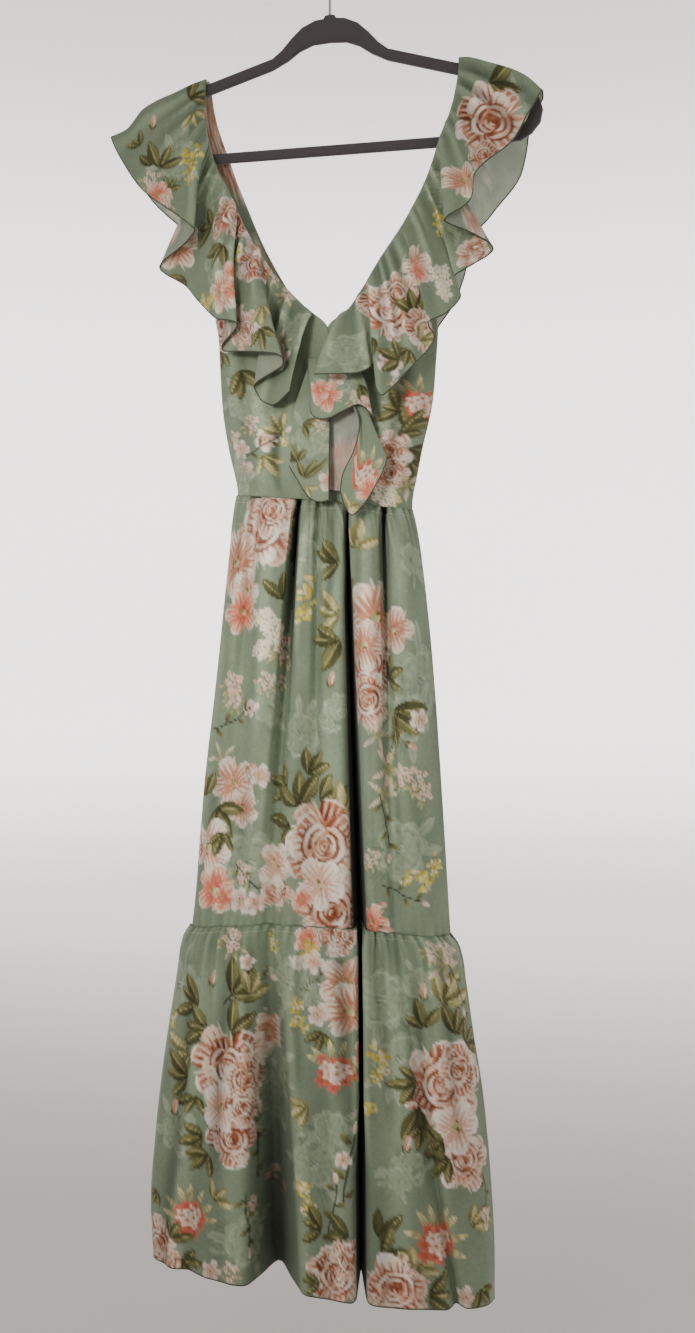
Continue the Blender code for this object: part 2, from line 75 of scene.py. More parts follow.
# Bodice, from the shoulder down: middle and half width of its plan, then its depths.
# z, middle x, half width, front centre y, front side y, back side y, back centre y
BODICE = [
    (-139, 2, 176, -4.9, -4.9, 4.9, 4.9),
    (-200, 0, 174, -12, -8, 7, 9),
    (-264, 0, 168, -22, -11, 9, 15),
    (-338, -1, 150, -31, -11, 8, 20),
    (-380, -2, 130, -35, -8, 2, 23),
    (-401, -2.5, 119, -37, -5.5, -2.5, 24),
    (-479, -2.5, 113.5, -41, -7.5, -4.5, 27),
    (-532, -3.5, 103.5, -46, -9.5, -6.5, 30),
    (-562, -3.5, 97, -51, -10.5, -7.5, 32),
    (-580, -4, 93.5, -48, -11.5, -8.5, 28),
    (-600, -4, 93, -45, -11.5, -8.5, 25),
]
# Inner edges of the V: z, left x, right x for the front, and the same for the back.
NECK_FRONT = [
    (-139, -134, 137), (-177, -134, 134), (-218, -125, 119), (-264, -102, 104), (-306, -82, 83),
    (-345, -57, 58), (-379, -29, 38), (-398, -8, 24), (-411, 5, 7),
]
NECK_BACK = [
    (-139, -133, 136), (-177, -127, 129), (-208, -117, 118), (-260, -97, 101), (-310, -76, 81),
    (-360, -48, 53), (-400, -18, 24), (-424, 5, 7),
]
# Outer edges of the strap and the armhole down to the underarm: z, left x, right x.
ARMHOLE = [
    (-139, -154, 156), (-184, -154, 152), (-221, -144, 138), (-264, -126, 124), (-305, -113, 110),
    (-350, -110, 106), (-380, -116, 108), (-401, -126, 117),
]
# Strap: it lies on the arm by two rows, each with its y and its height over the arm, and its
# rows turn from the arm's slope to level between STRAP_LOW_Z and STRAP_BLEND above it.
SHOULDER_Z, UNDERARM_Z = -139.0, -401.0
STRAP_OVER_ARM = ((0.2, 1.7), (4.2, 1.5))
STRAP_LOW_Z, STRAP_BLEND = -240.0, 95.0
CENTRE_X = 6.0
WAIST_Z, WAIST_TILT = -590.0, -0.1
BODICE_ROWS = (
    -153, -172, -196, -224, -256, -290, -325, -360, -390, -411, -445, -490, -535, -562, -580,
)
BODICE_COLUMNS, COLUMN_CROWD = 9, 1.35
BODICE_GATHER, GATHER_TOP_Z, GATHER_DROP = 1.7, -545.0, 45.0

# Skirt sections, from the waist down: z, left x, right x, side y, front y, back y.
UPPER = [
    (-590, -97, 89, -10, -45, 25),
    (-612, -102, 95, -10, -50, 28),
    (-700, -112, 106, -10, -54, 30),
    (-795, -122, 114, -10, -56, 32),
    (-950, -139, 124, -11, -60, 35),
    (-1034, -147, 129, -11, -61, 36),
]
LOWER = [
    (-1034, -147, 129, -11, -61, 36),
    (-1046, -156, 139, -11, -64, 39),
    (-1110, -168, 149, -11, -64, 40),
    (-1180, -179, 161, -11, -64, 41),
    (-1270, -189, 170, -11, -65, 42),
    (-1345, -194, 174, -10, -66, 42),
    (-1393, -190, 174, -10, -66, 42),
]
TIER_Z, TIER_ARCH = -1034.0, 12.0
TIER_MIDDLE, TIER_HALF = -11.0, 140.0
HEM_Z, HEM_TILT = -1393.0, -0.05
UPPER_DROPS = (0, 9, 26, 60, 110, 180, 260, 345)
LOWER_DROPS = (0, 7, 20, 46, 95, 165, 245, 315)
GATHER, GATHER_FADE = 2.3, 34.0
PLAN_POWER, EDGE_ROOM = 2.4, 6.0

# Folds of the front tiers. A fold sinks into the panel by its depth, from its top to its foot.
# name, x at the top, x at the foot, half width at both, depth at both
UPPER_FRONT_FOLDS = [
    ("side_pleat", -68, -108, 6, 9, 13, 3),
    ("left_groove", -23, -50, 3.6, 13, 34, 13),
    ("short_pleat", 0, -4, 4.5, 7, 12, 2),
    ("deep_groove", 27, 44, 3.4, 6.6, 42, 66),
    ("right_groove", 65, 80, 3.6, 6, 28, 4),
]
UPPER_BACK_FOLDS = [
    ("back_pleat_right", 58, 82, 6, 12, 16, 5),
    ("back_middle", 8, 14, 6, 14, 17, 9),
    ("back_pleat_left", -48, -72, 6, 13, 18, 6),
]
LOWER_FRONT_FOLDS = [
    ("left_crease", -108, -140, 9, 15, 3, 9),
    ("wide_valley", -50, -42, 13, 21, 13, 76),
    ("long_groove", 44, 47, 4.4, 4.2, 66, 80),
    ("right_edge", 80, 141, 6, 7, 4, 15),
]
LOWER_BACK_FOLDS = [
    ("back_wave_right", 82, 104, 12, 17, 5, 22),
    ("back_wave_middle", 14, 26, 14, 17, 9, 26),
    ("back_wave_left", -72, -84, 13, 17, 6, 24),
]
FOLD_STEPS = (-2.1, -1.35, -0.75, 0.0, 0.75, 1.35, 2.1)
FOLD_NARROW = 1.25
FILL_SPACING = 17.0

# Ruffles. Each row is where a wave starts on the neck edge and where its hem hangs. Where the
# hem turns back, the layer in front has the greatest lift, and the one that comes last the least.
# name, z on the neck edge, hem x, hem z, lift off the bodice at the hem
RUFFLE_LEFT = [
    ("flap_a", -152, -226, -214, 4), ("flap_b", -168, -198, -253, 11),
    ("flap_c", -184, -160, -283, 20), ("flap_end", -197, -135, -303, 28),
    ("flap_turn", -202, -136, -310, 23), ("turn_1", -210, -157, -322, 13),
    ("tip_1", -220, -178, -338, 7), ("under_1", -230, -152, -356, 2),
    ("side_2", -242, -136, -374, 12), ("crest_2", -256, -110, -399, 29),
    ("end_2", -268, -85, -408, 35), ("end_turn_2", -273, -86, -415, 29),
    ("turn_2", -281, -104, -425, 18), ("fold_2", -290, -104, -431, 12),
    ("crest_3", -302, -72, -438, 27), ("crest_4", -319, -36, -446, 37),
    ("crest_turn_4", -328, -33, -456, 30), ("turn_4", -339, -55, -464, 19),
    ("fold_4", -351, -69, -471, 10), ("under_4", -366, -62, -484, 4),
    ("crest_5", -382, -46, -492, 14), ("end_5", -397, -26, -483, 30),
]
RUFFLE_RIGHT = [
    ("flap_a", -150, 211, -197, 4), ("flap_b", -164, 193, -231, 11),
    ("flap_c", -177, 170, -252, 20), ("curl_1", -190, 158, -268, 27),
    ("crest_1", -202, 154, -296, 33), ("flap_end", -213, 132, -314, 38),
    ("flap_turn", -218, 133, -319, 33), ("turn_1", -225, 155, -326, 21),
    ("tip_2", -234, 175, -341, 13), ("under_2", -244, 148, -356, 6),
    ("fold_3", -256, 134, -366, 5), ("tip_3", -270, 142, -385, 10),
    ("crest_3", -284, 128, -404, 20), ("end_3", -298, 112, -416, 33),
    ("turn_3", -312, 116, -430, 20), ("crest_4", -330, 96, -458, 26),
    ("end_4", -350, 69, -491, 42), ("notch_4", -367, 60, -458, 27),
    ("crest_5", -384, 48, -468, 40), ("end_5", -400, 4, -470, 46),
]
RUFFLE_BACK_LEFT = [
    ("flap_a", -152, -226, -216, 4), ("flap_b", -172, -202, -252, 12),
    ("curl_1", -192, -168, -284, 24), ("crest_1", -210, -148, -312, 32),
    ("notch_1", -226, -152, -328, 20), ("tip_1", -242, -156, -350, 12),
    ("crest_2", -262, -134, -380, 26), ("end_2", -282, -112, -398, 34),
    ("notch_2", -302, -108, -414, 24), ("crest_3", -324, -92, -436, 36),
    ("notch_3", -346, -78, -448, 20), ("crest_4", -368, -56, -470, 38),
    ("notch_4", -388, -38, -480, 22), ("end_4", -408, -14, -494, 34),
]
RUFFLE_BACK_RIGHT = [
    ("flap_a", -152, 208, -205, 4), ("flap_b", -170, 197, -250, 12),
    ("curl_1", -190, 168, -282, 20), ("crest_1", -208, 146, -302, 32),
    ("notch_1", -224, 140, -326, 22), ("tip_1", -242, 138, -350, 14),
    ("crest_2", -262, 124, -378, 26), ("end_2", -284, 108, -398, 34),
    ("notch_2", -304, 102, -416, 24), ("crest_3", -326, 88, -438, 36),
    ("notch_3", -348, 76, -452, 20), ("crest_4", -370, 60, -474, 38),
    ("notch_4", -392, 42, -482, 24), ("end_4", -410, 20, -496, 36),
]
TIP_LEFT = (-240, -184)
TIP_RIGHT = (222, -173)
RUFFLE_ROWS = (0.0, 0.12, 0.32, 0.54, 0.68, 0.82, 1.0)
RUFFLE_STEPS = 3
RUFFLE_FLARE, LIFT_LEAST = 2.2, 0.6
RUFFLE_SIDE = 0.93

# Flounce at the point of the V. name, x and y at the top, x, z and y at the hem, swing
FLOUNCE_TOP_Z = -446.0
FLOUNCE_ROWS = (0, 0.25, 0.55, 0.8, 1.0)
FLOUNCE_STEPS, FLOUNCE_SWELL = 3, 5.0
STRIP_EASE = 0.8
FLOUNCE_CENTRE = [
    ("left_edge", -12, -49, -8, -478, -54.3, 0), ("left_crest", -4, -51, -4, -505, -66, 0),
    ("middle_left", 6, -49, 12, -511, -71, 0), ("dip", 18, -49.6, 29, -503, -67, 0),
    ("right_crest", 28, -49, 45, -497, -64, 2), ("right_end", 38, -49.5, 58, -509, -61, 2),
]
# Cascade under it: one strip whose plan is a bell open at the front.
# name, x and y at the top, x, z and y at the hem, how far it swings out to +X half way down
CASCADE_TOP_Z = -452.0
CASCADE_ROWS = (0, 0.2, 0.45, 0.7, 0.88, 1.0)
CASCADE_STEPS, CASCADE_SWELL = 2, 2.0
CASCADE = [
    ("left_free_edge", 12, -46.6, 14, -592, -67, 0), ("left_front", 0, -46.2, -4, -591, -67, -2),
    ("left_fold", -12, -45.4, -28, -556, -60, -5), ("left_back", -7, -43.8, -10, -574, -54, -3),
    ("back_middle", 9, -43.2, 20, -582, -52.5, 0), ("right_back", 24, -43.6, 50, -576, -53.5, 5),
    ("right_fold", 34, -45.0, 71, -552, -57, -4), ("right_front", 25, -46.6, 59, -582, -65, 8),
    ("right_tip", 21, -48.2, 38, -608, -70, 17), ("right_free_edge", 17, -49.8, 27, -584, -73, 23),
]


def mix(a, b, t):
    return a + (b - a) * t


def lookup(table, key, column):
    """Smooth value of a column at a key of the table's falling first column."""
    if key >= table[0][0]:
        return table[0][column]
    if key <= table[-1][0]:
        return table[-1][column]
    last = len(table) - 1
    i = next(n for n in range(last) if table[n + 1][0] <= key)
    before, low, high, after = (table[max(0, min(last, n))] for n in (i - 1, i, i + 1, i + 2))
    step = high[0] - low[0]
    t = (key - low[0]) / step
    slope_low = (high[column] - before[column]) / (high[0] - before[0]) * step
    slope_high = (after[column] - low[column]) / (after[0] - low[0]) * step
    return hermite(low[column], high[column], slope_low, slope_high, t)


def hermite(a, b, slope_a, slope_b, t):
    t2, t3 = t * t, t * t * t
    return (a * (2 * t3 - 3 * t2 + 1) + slope_a * (t3 - 2 * t2 + t)
            + b * (3 * t2 - 2 * t3) + slope_b * (t3 - t2))


def refine(points, steps):
    """Points along the smooth curve through the given ones."""
    last = len(points) - 1
    found = []
    for i in range(last):
        before, low, high, after = (points[max(0, min(last, n))] for n in (i - 1, i, i + 1, i + 2))
        for k in range(steps):
            t = k / steps
            found.append(tuple(hermite(low[c], high[c], (high[c] - before[c]) / 2,
                                       (after[c] - low[c]) / 2, t) for c in range(len(low))))
    found.append(points[-1])
    return found


def uneven(n):
    """Steady uneven number from 0.45 to 1 for the n-th gather."""
    return 0.45 + 0.55 * abs(math.sin(n * 2.3 + 0.7))


def arm_top(x):
    """Height of the hanger's upper edge at x."""
    x = abs(x)
    if x <= BEND_X:
        return ARM_Z - (x - ARM_X) * SLOPE
    rim = [(px, pz) for px, pz in HANGER_OUTER if px >= BEND_X][:5]
    for (x0, z0), (x1, z1) in zip(rim, rim[1:]):
        if x <= x1:
            return mix(z0, z1, (x - x0) / (x1 - x0))
    return rim[-1][1]


def bodice_depth(x, z, side, limit=1.0):
    """Depth of the bodice's outer face: side is 'front' or 'back'. Past the limit it stays level."""
    middle = lookup(BODICE, z, 1)
    half = lookup(BODICE, z, 2)
    edge = lookup(BODICE, z, 4 if side == "front" else 5)
    centre = lookup(BODICE, z, 3 if side == "front" else 6)
    across = min(limit, abs(x - middle) / half)
    return edge + (centre - edge) * math.sqrt(1.0 - across * across)


def strap_row(z, x):
    """Height of a bodice point: level rows low down, rows along the arm's slope on the strap."""
    lift = max(0.0, min(1.0, (z - STRAP_LOW_Z) / STRAP_BLEND))
    return z + (arm_top(x) - ARM_Z) * lift


def waist_height(x):
    return WAIST_Z + WAIST_TILT * x


def bodice_grid(side, inner_left):
    """Half of the front or back: rows from the arm of the hanger to the waist."""
    neck = NECK_FRONT if side == "front" else NECK_BACK
    away = -1.0 if side == "front" else 1.0
    count = BODICE_COLUMNS
    column = 1 if inner_left else 2
    sign = -1 if inner_left else 1
    grid = []
    for over_y, over_z in STRAP_OVER_ARM:
        row = []
        for c in range(count):
            arm_x, neck_x = lookup(ARMHOLE, SHOULDER_Z, column), lookup(neck, SHOULDER_Z, column)
            x = mix(arm_x, neck_x, c / (count - 1))
            row.append((x, away * over_y, arm_top(x) + over_z))
        grid.append(row)
    low = neck[-1][0]
    for z in BODICE_ROWS + (WAIST_Z,):
        row = []
        for c in range(count):
            if z > UNDERARM_Z:
                outer = lookup(ARMHOLE, z, column)
            else:
                outer = lookup(BODICE, z, 1) + sign * lookup(BODICE, z, 2)
            inner = lookup(neck, z, column) if z > low else CENTRE_X + sign * SEAM_GAP / 2
            t = c / (count - 1)
            x = mix(outer, inner, t if z > UNDERARM_Z else 1 - (1 - t) ** COLUMN_CROWD)
            drop = max(0.0, (GATHER_TOP_Z - z) / GATHER_DROP)
            height = mix(strap_row(z, x), strap_row(z, x) + WAIST_TILT * x, drop)
            depth = bodice_depth(x, z, side)
            if 0 < c < count - 1:
                depth += away * BODICE_GATHER * (1 if c % 2 else -1) * uneven(c) * drop
            row.append((x, depth, height))
        grid.append(row)
    if inner_left == (side == "back"):
        grid = [row[::-1] for row in grid]
    return grid


def fold_places(folds, t):
    """Columns of every fold at a share t of the tier's drop: x, and which fold it belongs to."""
    places = []
    for k, (_, x_top, x_foot, half_top, half_foot, _, _) in enumerate(folds):
        x = mix(x_top, x_foot, t)
        half = mix(half_top, half_foot, t)
        places += [(x + step * half, k, step) for step in FOLD_STEPS]
    return places


def tier_grid(side, sections, folds, drops, top_z, foot_z, gathers):
    """Front or back of a tier, between its side seams, following its folds."""
    away = -1.0 if side == "front" else 1.0
    order = sorted(folds, key=lambda fold: fold[1])
    edges = [(fold[1] + FOLD_STEPS[-1] * fold[3], after[1] + FOLD_STEPS[0] * after[3])
             for fold, after in zip(order, order[1:])]
    left_top, right_top = sections[1][1], sections[1][2]
    spans = ([order[0][1] + FOLD_STEPS[0] * order[0][3] - left_top]
             + [high - low for low, high in edges]
             + [right_top - order[-1][1] - FOLD_STEPS[-1] * order[-1][3]])
    fills = [max(1, round(span / FILL_SPACING)) for span in spans]
    grid = []
    length = max(abs(foot_z(0) - top_z(0)), 1.0)
    for drop in drops + (length,):
        share = drop / length
        level = mix(sections[0][0], sections[-1][0], share)
        left, right = lookup(sections, level, 1), lookup(sections, level, 2)
        side_y = lookup(sections, level, 3)
        face_y = lookup(sections, level, 4 if side == "front" else 5)
        places = fold_places(order, share)
        knots = [(left, None, 0)] + places + [(right, None, 0)]
        marks = []
        group = 0
        for a, b in zip(knots, knots[1:]):
            marks.append(a)
            if a[1] != b[1]:
                amount = fills[group]
                group += 1
                marks += [(mix(a[0], b[0], m / (amount + 1)), None, 0) for m in range(1, amount + 1)]
        marks.append(knots[-1])
        middle, half = (left + right) / 2, (right - left) / 2
        row = []
        fade = math.exp(-drop / GATHER_FADE)
        for c, (x, _, _) in enumerate(marks):
            across = min(1.0, abs(x - middle) / half)
            y = side_y + (face_y - side_y) * (1.0 - across ** PLAN_POWER) ** (1 / PLAN_POWER)
            room = min(1.0, (1.0 - across) * EDGE_ROOM)
            if 0 < c < len(marks) - 1:
                y += away * gathers * fade * (1 if c % 2 else -1) * uneven(c) * room
            push = 0.0
            for _, x_top, x_foot, half_top, half_foot, deep_top, deep_foot in order:
                reach = (x - mix(x_top, x_foot, share)) / mix(half_top, half_foot, share)
                push += mix(deep_top, deep_foot, share) * math.exp(-reach * reach * FOLD_NARROW)
            push *= room
            if c in (0, len(marks) - 1):
                y = side_y + away * SIDE_SEAM
            row.append((x + VIEW_LEAN * push, y - away * push, mix(top_z(x), foot_z(x), share), push))
        grid.append(row)
    if side == "back":
        grid = [row[::-1] for row in grid]
    return grid


def tier_height(x):
    """Seam between the tiers, a little higher in the middle."""
    across = min(1.0, abs(x - TIER_MIDDLE) / TIER_HALF)
    return TIER_Z + TIER_ARCH * (1.0 - across * across)


def hem_height(x):
    """Hem, a little lower at the right."""
    return HEM_Z + HEM_TILT * x


def ridge_rise(x):
    """How far a ruffle lies above the hanger's arm: over the strap, then straight on the arm."""
    past = max(0.0, min(1.0, (abs(x) - STRAP_END) / RIDGE_FALL))
    return mix(RIDGE_RISE, RIDGE_LOW, past) + max(0.0, abs(x) - BEND_X) * RIDGE_END_SLOPE


def clear_of_arm(point, away):
    """Move a ruffle point out of the hanger's arm and end, to its own side."""
    x, y, z = point
    if abs(x) < END_X and END_Z < z < arm_top(x) + ARM_NEAR:
        y = min(y, -ARM_CLEAR) if away < 0 else max(y, ARM_CLEAR)
    return x, y, z


def ruffle_grid(side, neck, column, tip, waves):
    """Flounce gathered on a neck edge: it lies over the hanger's arm, then waves down the V."""
    away = -1.0 if side == "front" else 1.0
    start_x = lookup(neck, SHOULDER_Z, column)
    hems = [(neck[0][0] - 3, tip[0], tip[1] - 3, 1.0)] + [row[1:] for row in waves]
    columns = refine(hems, RUFFLE_STEPS)
    ridge = []
    for t in RUFFLE_ROWS:
        x = mix(start_x, tip[0], t)
        line = mix(arm_top(start_x) + RIDGE_RISE, tip[1], t)
        ridge.append((x, away * RIDGE_HALF, max(line, arm_top(x) + ridge_rise(x))))
    strips = [ridge]
    for n, (z_neck, x_hem, z_hem, lift) in enumerate(columns):
        x_neck = lookup(neck, z_neck, column)
        z_start = strap_row(z_neck, x_neck)
        lift = max(LIFT_LEAST, lift)
        strip = []
        for t in RUFFLE_ROWS:
            x = mix(x_neck, x_hem, t)
            z = mix(z_start, z_hem, t)
            if n == 0:
                z = max(z, arm_top(x) + ridge_rise(x) - SHOULDER_STEP)
            rise = lift * (1 - (1 - t) ** RUFFLE_FLARE)
            y = bodice_depth(x, z, side, RUFFLE_SIDE) + away * (LAY_OFF + rise)
            strip.append((x, y, z) if n == 0 else clear_of_arm((x, y, z), away))
        if n == 0:
            strip = [(x, away * ARM_CLEAR, z) for x, y, z in strip]
        strips.append(strip)
    grid = [list(row) for row in zip(*strips)]
    if (column == 2) == (side == "front"):
        grid = [row[::-1] for row in grid]
    return grid


def strip_grid(table, top_z, rows, steps, swell):
    """Strip gathered on a short level line, with its hem as tabled."""
    columns = refine([tuple(row[1:]) for row in table], steps)
    grid = []
    for t in rows:
        eased, half_way = t ** STRIP_EASE, math.sin(math.pi * t)
        out = swell * half_way
        grid.append([
            (mix(tx, hx, eased) + swing * half_way ** 2, mix(ty, hy, eased) - out, mix(top_z, hz, t))
            for tx, ty, hx, hz, hy, swing in columns
        ])
    return grid


# The photograph's camera: level, 1500 mm from the hanger, turned 12 degrees round the dress.
PHOTO_WIDE, PHOTO_HIGH = 695, 1333
CAMERA_PLACE = (0.3299, -1.4634, -0.7591)
CAMERA_TURN = math.radians(12)
LENS, SENSOR = 38.58, 36.0
FLOOR_Z = -1520.0

# Cloth: how finely each kind of panel is worked, and how thick the shell is.
FRONT_STEP, BACK_STEP, RUFFLE_STEP = 1.25, 2.3, 1.3
SHELL = 0.7
INNER_ROWS = 6
SUNK_EASE = 8.0
# Share by which a ruffle and the centre's strips are drawn in along their sewn edge.
RUFFLE_DRAWN, STRIP_DRAWN = 0.35, 0.3
# Over how much height a wide fold opens.
WIDE_FOLD_RISE = 60.0
# Rolled hems and seam tucks by their radius, and how far a tuck stands over its edge.
HEM_ROLL, SEAM_ROLL, SEAM_RISE = 0.75, 0.8, 0.35
# Stitches: spacing, share of it that is thread, thread radius, row of cells, lift off the cloth.
STITCH, STITCH_SHARE, THREAD, STITCH_ROW, STITCH_LIFT = 2.6, 0.62, 0.18, 3, 0.15
# How far from a sewn edge its gathers stay flat.
SEWN_HOLD = 9.0

# Creases laid on the panels: x at the top and foot, z at the top and foot, half width, height.
# A trough has a negative height.
CREASES = {
    "skirt_upper_front": [
        (-84, -118, -600, -840, 7, -3.0), (-93, -134, -640, -980, 9, 2.4),
        (-46, -78, -600, -900, 8, 3.2), (-58, -92, -700, -1020, 10, -2.6),
        (-10, -28, -600, -760, 5, 2.6), (12, 8, -596, -740, 5, -2.8),
        (14, 20, -640, -1000, 12, 2.6), (-14, -18, -760, -1020, 14, -2.2),
        (46, 60, -600, -860, 6, 3.4), (54, 84, -720, -1010, 11, -2.4),
        (80, 98, -600, -900, 7, 2.2), (84, 112, -680, -1020, 9, -2.0),
        (34, 56, -880, -1028, 9, 1.8), (-104, -146, -860, -1025, 7, -1.8),
    ],
    "skirt_lower_front": [
        (-132, -170, -1040, -1390, 9, -2.6), (-120, -152, -1060, -1385, 10, 2.8),
        (-92, -112, -1040, -1300, 8, -2.6), (-80, -86, -1080, -1390, 13, 3.0),
        (-66, -74, -1040, -1180, 6, -2.2), (-28, -18, -1060, -1390, 12, 2.6),
        (-16, -22, -1040, -1200, 6, -2.4), (12, 30, -1100, -1390, 9, 2.4),
        (24, 24, -1040, -1210, 6, -2.6), (66, 76, -1040, -1240, 6, -2.2),
        (76, 92, -1060, -1390, 13, 3.0), (98, 116, -1050, -1330, 9, -2.8),
        (110, 132, -1120, -1390, 10, 2.2), (120, 150, -1040, -1260, 6, -2.0),
    ],
    "skirt_upper_back": [
        (-80, -116, -600, -900, 8, -3.0), (-68, -96, -620, -1000, 9, 2.6),
        (-30, -44, -600, -820, 7, 3.0), (-16, -18, -650, -1010, 10, -2.4),
        (34, 46, -600, -880, 8, 2.8), (30, 34, -760, -1020, 11, -2.2),
        (78, 104, -620, -980, 9, 2.4), (70, 98, -720, -1020, 8, -2.2),
    ],
    "skirt_lower_back": [
        (-120, -160, -1050, -1390, 10, 2.8), (-104, -128, -1040, -1320, 8, -2.4),
        (-44, -50, -1060, -1390, 12, 3.0), (-24, -20, -1040, -1240, 7, -2.4),
        (44, 62, -1070, -1390, 12, 2.8), (60, 70, -1040, -1260, 7, -2.2),
        (104, 138, -1050, -1390, 11, 2.4), (116, 146, -1100, -1380, 8, -2.0),
    ],
    "bodice_front_left": [
        (-92, -78, -400, -585, 8, -1.6), (-70, -58, -470, -588, 7, 2.0),
        (-48, -44, -500, -588, 5, -1.8), (-104, -84, -330, -560, 9, 1.5),
        (-30, -30, -440, -585, 8, 1.8),
    ],
    "bodice_front_right": [
        (88, 70, -400, -590, 8, -1.6), (70, 58, -450, -590, 7, 2.0), (50, 46, -500, -590, 5, -1.8),
        (100, 82, -330, -560, 8, 1.5), (36, 32, -450, -588, 7, 1.6),
    ],
    "bodice_back_left": [
        (-84, -70, -400, -585, 8, -1.6), (-54, -46, -440, -588, 8, 2.0),
        (-28, -26, -480, -588, 6, -1.6),
    ],
    "bodice_back_right": [
        (86, 70, -400, -590, 8, -1.6), (54, 48, -440, -590, 8, 2.0), (28, 28, -480, -590, 6, -1.6),
    ],
}

# How far a crease wanders, how near the hem it has to end to run on to it, and how deep a pleat
# has sunk where creases stop.
CREASE_SWAY, CREASE_TO_HEM, CREASE_SUNK = 2.5, 15, 14.0

# Pleats whose lips lie closer: x of the line at its top and foot, z from and to, reach, share.
PINCHES = {
    "skirt_lower_front": [(44, 46, -1030, -1270, 11, 0.62)],
    "skirt_upper_front": [(27, 31, -590, -690, 9, 0.35)],
}

# Open folds that the light reaches, whose painted shade deepens more slowly: x from and to,
# and the z from which they are open.
WIDE_FOLDS = {
    "skirt_upper_front": [(-140, -34, 0), (58, 104, -600)],
    "skirt_lower_front": [(-200, 20, 0), (90, 200, 0)],
    "skirt_upper_back": [(-200, 200, 0)],
    "skirt_lower_back": [(-200, 200, 0)],
}

# Gathers: where they start on the panel ('top' or 'foot' edge), spacing, height and length in mm.
GATHERS = {
    "skirt_upper_front": [("top", 7.5, 2.1, 44), ("foot", 10.0, 0.9, 18)],
    "skirt_upper_back": [("top", 8.5, 2.1, 44), ("foot", 11.0, 0.9, 18)],
    "skirt_lower_front": [("top", 9.0, 2.5, 46)],
    "skirt_lower_back": [("top", 10.0, 2.5, 46)],
    "bodice_front_left": [("foot", 7.0, 1.2, 26)],
    "bodice_front_right": [("foot", 7.0, 1.2, 26)],
    "bodice_back_left": [("foot", 8.5, 1.2, 26)],
    "bodice_back_right": [("foot", 8.5, 1.2, 26)],
    "ruffle_left": [("top", 9.0, 1.8, 30), ("top", 23.0, 6.0, 95)],
    "ruffle_right": [("top", 9.0, 1.8, 30), ("top", 23.0, 6.0, 95)],
    "ruffle_back_left": [("top", 11.0, 1.5, 26), ("top", 28.0, 4.0, 80)],
    "ruffle_back_right": [("top", 11.0, 1.5, 26), ("top", 28.0, 4.0, 80)],
    "flounce_centre": [("top", 6.0, 0.7, 14)],
    "ruffle_cascade": [("top", 7.0, 0.6, 16)],
}

# Colours, as sRGB hex.
SAGE, SAGE_LIGHT, SAGE_PALE, SAGE_DARK = "8b9a80", "a0ae93", "b9c2aa", "647662"
WRONG_SIDE = "aeada4"
WHITE, CREAM, SHELL_PINK, BLUSH = "efe9dc", "e6d5c0", "dcb59c", "c98f72"
ROSE, TERRACOTTA, BRICK = "b3704f", "924c2f", "65301c"
CORAL, CORAL_DEEP, PEACH = "dc7c66", "c05848", "e8b490"
BUTTER, YELLOW, OCHRE = "e6dba6", "d2c252", "a48b3c"
OLIVE, OLIVE_LIGHT, OLIVE_DARK, TWIG = "5e5e38", "908d5a", "35371f", "3a362b"
HEM_GREEN = "444a3a"
FLOCK_GREY, CHROME, PAPER = "434041", "c9c9cc", "b9b4b1"


def linear(code):
    """Linear colour of an sRGB hex value."""
    parts = [int(code[k:k + 2], 16) / 255 for k in (0, 2, 4)]
    return np.array([c / 12.92 if c <= 0.04045 else ((c + 0.055) / 1.055) ** 2.4 for c in parts])


def add(tree, kind, settings=None, **links):
    """Add one node with its settings, and link or set its inputs, named or numbered as in n0."""
    node = tree.nodes.new(kind)
    for name, value in (settings or {}).items():
        setattr(node, name, value)
    for name, value in links.items():
        numbered = name[0] == "n" and name[1:].isdigit()
        socket = node.inputs[int(name[1:]) if numbered else name.replace("_", " ")]
        if isinstance(value, bpy.types.NodeSocket):
            tree.links.new(value, socket)
        else:
            socket.default_value = value
    return node


# Shape

def finer(grid, axis, step):
    """Sample the smooth curves through a grid's points along one axis, about every step mm.

    The fourth value is how far the cloth is sunk in a pleat: deep down, the steps are longer.
    """
    g = np.moveaxis(grid, axis, 0)
    chord = np.linalg.norm(np.diff(g[..., :3], axis=0), axis=2).mean(axis=1)
    sunk = np.maximum(g[..., 3], 0.0).mean(axis=1)
    chord = chord / (1.0 + (sunk[1:] + sunk[:-1]) / 2 / SUNK_EASE)
    s = np.concatenate([[0.0], np.cumsum(np.maximum(chord, 0.05))])
    at = np.linspace(0.0, s[-1], max(2, int(round(s[-1] / step))) + 1)
    i = np.clip(np.searchsorted(s, at, side="right") - 1, 0, len(g) - 2)
    span = s[i + 1] - s[i]
    t = ((at - s[i]) / span)[:, None, None]
    slope = np.gradient(g, s, axis=0)
    run = span[:, None, None]
    t2, t3 = t * t, t * t * t
    found = (g[i] * (2 * t3 - 3 * t2 + 1) + slope[i] * run * (t3 - 2 * t2 + t)
             + g[i + 1] * (3 * t2 - 2 * t3) + slope[i + 1] * run * (t3 - t2))
    return np.moveaxis(found, 0, axis)


def normals_of(points):
    """Outward unit normals of a grid whose rows run down and columns run to the right."""
    down = np.gradient(points, axis=0)
    right = np.gradient(points, axis=1)
    found = np.cross(down, right)
    return found / np.maximum(np.linalg.norm(found, axis=2, keepdims=True), 1e-9)


